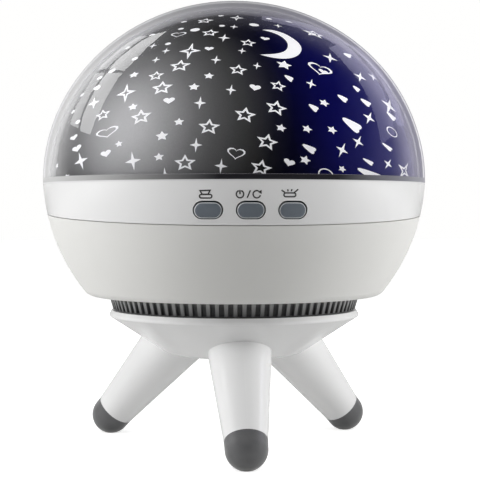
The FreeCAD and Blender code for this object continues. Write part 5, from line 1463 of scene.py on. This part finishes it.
# %% Draw the signs
SIGN_LINE = 0.40 * MM
SIGN_PROUD = 0.04 * MM
MITRE_LEAST = 0.5
RING_REACH = 3.7
SHADE_LINE = [(200.0, 190.6), (210.1, 190.3), (208.1, 194.2), (202.2, 194.3)]
SHADE_BASE = (199.5, 211.8, 194.4, 198.0)
POWER_MIDDLE, POWER_TURN = (240.0, 194.1), (110, 430)
POWER_STROKE, SLASH = [(239.9, 189.9), (240.0, 194.2)], [(250.4, 190.2), (247.2, 197.8)]
ARROW_MIDDLE, ARROW_TURN = (256.8, 194.2), (62, 345)
ARROW_HEAD = [(261.6, 189.9), (261.7, 194.0), (257.9, 191.7)]
RAYS_LAMP = (283.9, 295.8, 192.9, 196.7)
RAYS = [
    [(281.5, 190.0), (285.0, 192.5)], [(287.6, 189.2), (288.1, 191.4)],
    [(291.9, 189.1), (291.3, 191.3)], [(298.2, 189.2), (294.4, 192.5)],
]


def on_band(pixel):
    """Where the line of sight through a pixel meets the outside of the housing."""
    ray = sight(pixel)
    start = camera.location - BALL_MIDDLE
    half = start.dot(ray)
    spare = half * half - start.length_squared + BALL_RADIUS**2
    place = camera.location + ray * (-half - math.sqrt(spare))
    return place + (place - BALL_MIDDLE).normalized() * SIGN_PROUD


def add_ribbon(sheet, line, closed=False):
    """A flat ribbon along picked pixels, with mitred corners."""
    spots = [on_band(pixel) for pixel in line]
    count = len(spots)
    sides = []
    for step, spot in enumerate(spots):
        before = spots[step - 1] if step or closed else spot
        after = spots[(step + 1) % count] if step < count - 1 or closed else spot
        ways = [way.normalized() for way in (spot - before, after - spot) if way.length > 0]
        out = (spot - BALL_MIDDLE).normalized()
        along = sum(ways, Vector()).normalized()
        corner = max(MITRE_LEAST, along.dot(ways[0]))
        aside = out.cross(along) * SIGN_LINE / 2 / corner
        sides.append((sheet.verts.new(spot + aside), sheet.verts.new(spot - aside)))
    for step in range(count if closed else count - 1):
        here, after = sides[step], sides[(step + 1) % count]
        sheet.faces.new((here[0], here[1], after[1], after[0]))


def arc(middle, reach, start, stop, steps=16):
    """Pixels on part of a circle, from one angle in degrees to another."""
    turns = [math.radians(start + (stop - start) * step / steps) for step in range(steps + 1)]
    return [(middle[0] + reach * math.cos(t), middle[1] - reach * math.sin(t)) for t in turns]


def long_round(left, right, top, low):
    """Pixels on a bar with round ends."""
    reach = (low - top) / 2
    level = (low + top) / 2
    near = arc((left + reach, level), reach, 90, 270, 8)
    return near + arc((right - reach, level), reach, -90, 90, 8)


ring_middle = tuple(round(v / MM, 1) for v in on_band(POWER_MIDDLE))
print("the middle of the power ring sits at", ring_middle, "in millimetres")

# %% [markdown]
# ## Printing the signs
#
# Each sign is one mesh of closed ribbons, open ribbons and, for the arrow's head, one solid
# face. The ink is a warm, dull black. The signs belong to the housing and stay where they
# are when a key goes in.

# %% Print the signs
def sign_piece(name, closed_lines, open_lines, solid=()):
    sheet = bmesh.new()
    for line in closed_lines:
        add_ribbon(sheet, line, closed=True)
    for line in open_lines:
        add_ribbon(sheet, line)
    if solid:
        sheet.faces.new([sheet.verts.new(on_band(pixel)) for pixel in solid])
    bmesh.ops.recalc_face_normals(sheet, faces=sheet.faces[:])
    mesh = bpy.data.meshes.new(name)
    sheet.to_mesh(mesh)
    sheet.free()
    mesh.materials.append(sign_ink.material)
    sign = placed(name, mesh)
    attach(sign, "lamp_body")
    print(name, "has", len(mesh.polygons), "faces")


sign_ink = Finish("sign_ink", roughness=0.5)
darks = sign_ink.between(sign_ink.grain(0.6 * MM), (0.030, 0.029, 0.028), (0.060, 0.058, 0.056))
sign_ink.paint(darks)
sign_ink.gloss(sign_ink.grain(1 * MM), 0.42, 0.58)

sign_piece("upward_lamp_sign", [SHADE_LINE, long_round(*SHADE_BASE)], [])
power = arc(POWER_MIDDLE, RING_REACH, *POWER_TURN)
arrow = arc(ARROW_MIDDLE, RING_REACH, *ARROW_TURN)
sign_piece("on_off_sign", [], [power, POWER_STROKE, SLASH, arrow], ARROW_HEAD)
sign_piece("rays_sign", [long_round(*RAYS_LAMP)], RAYS)
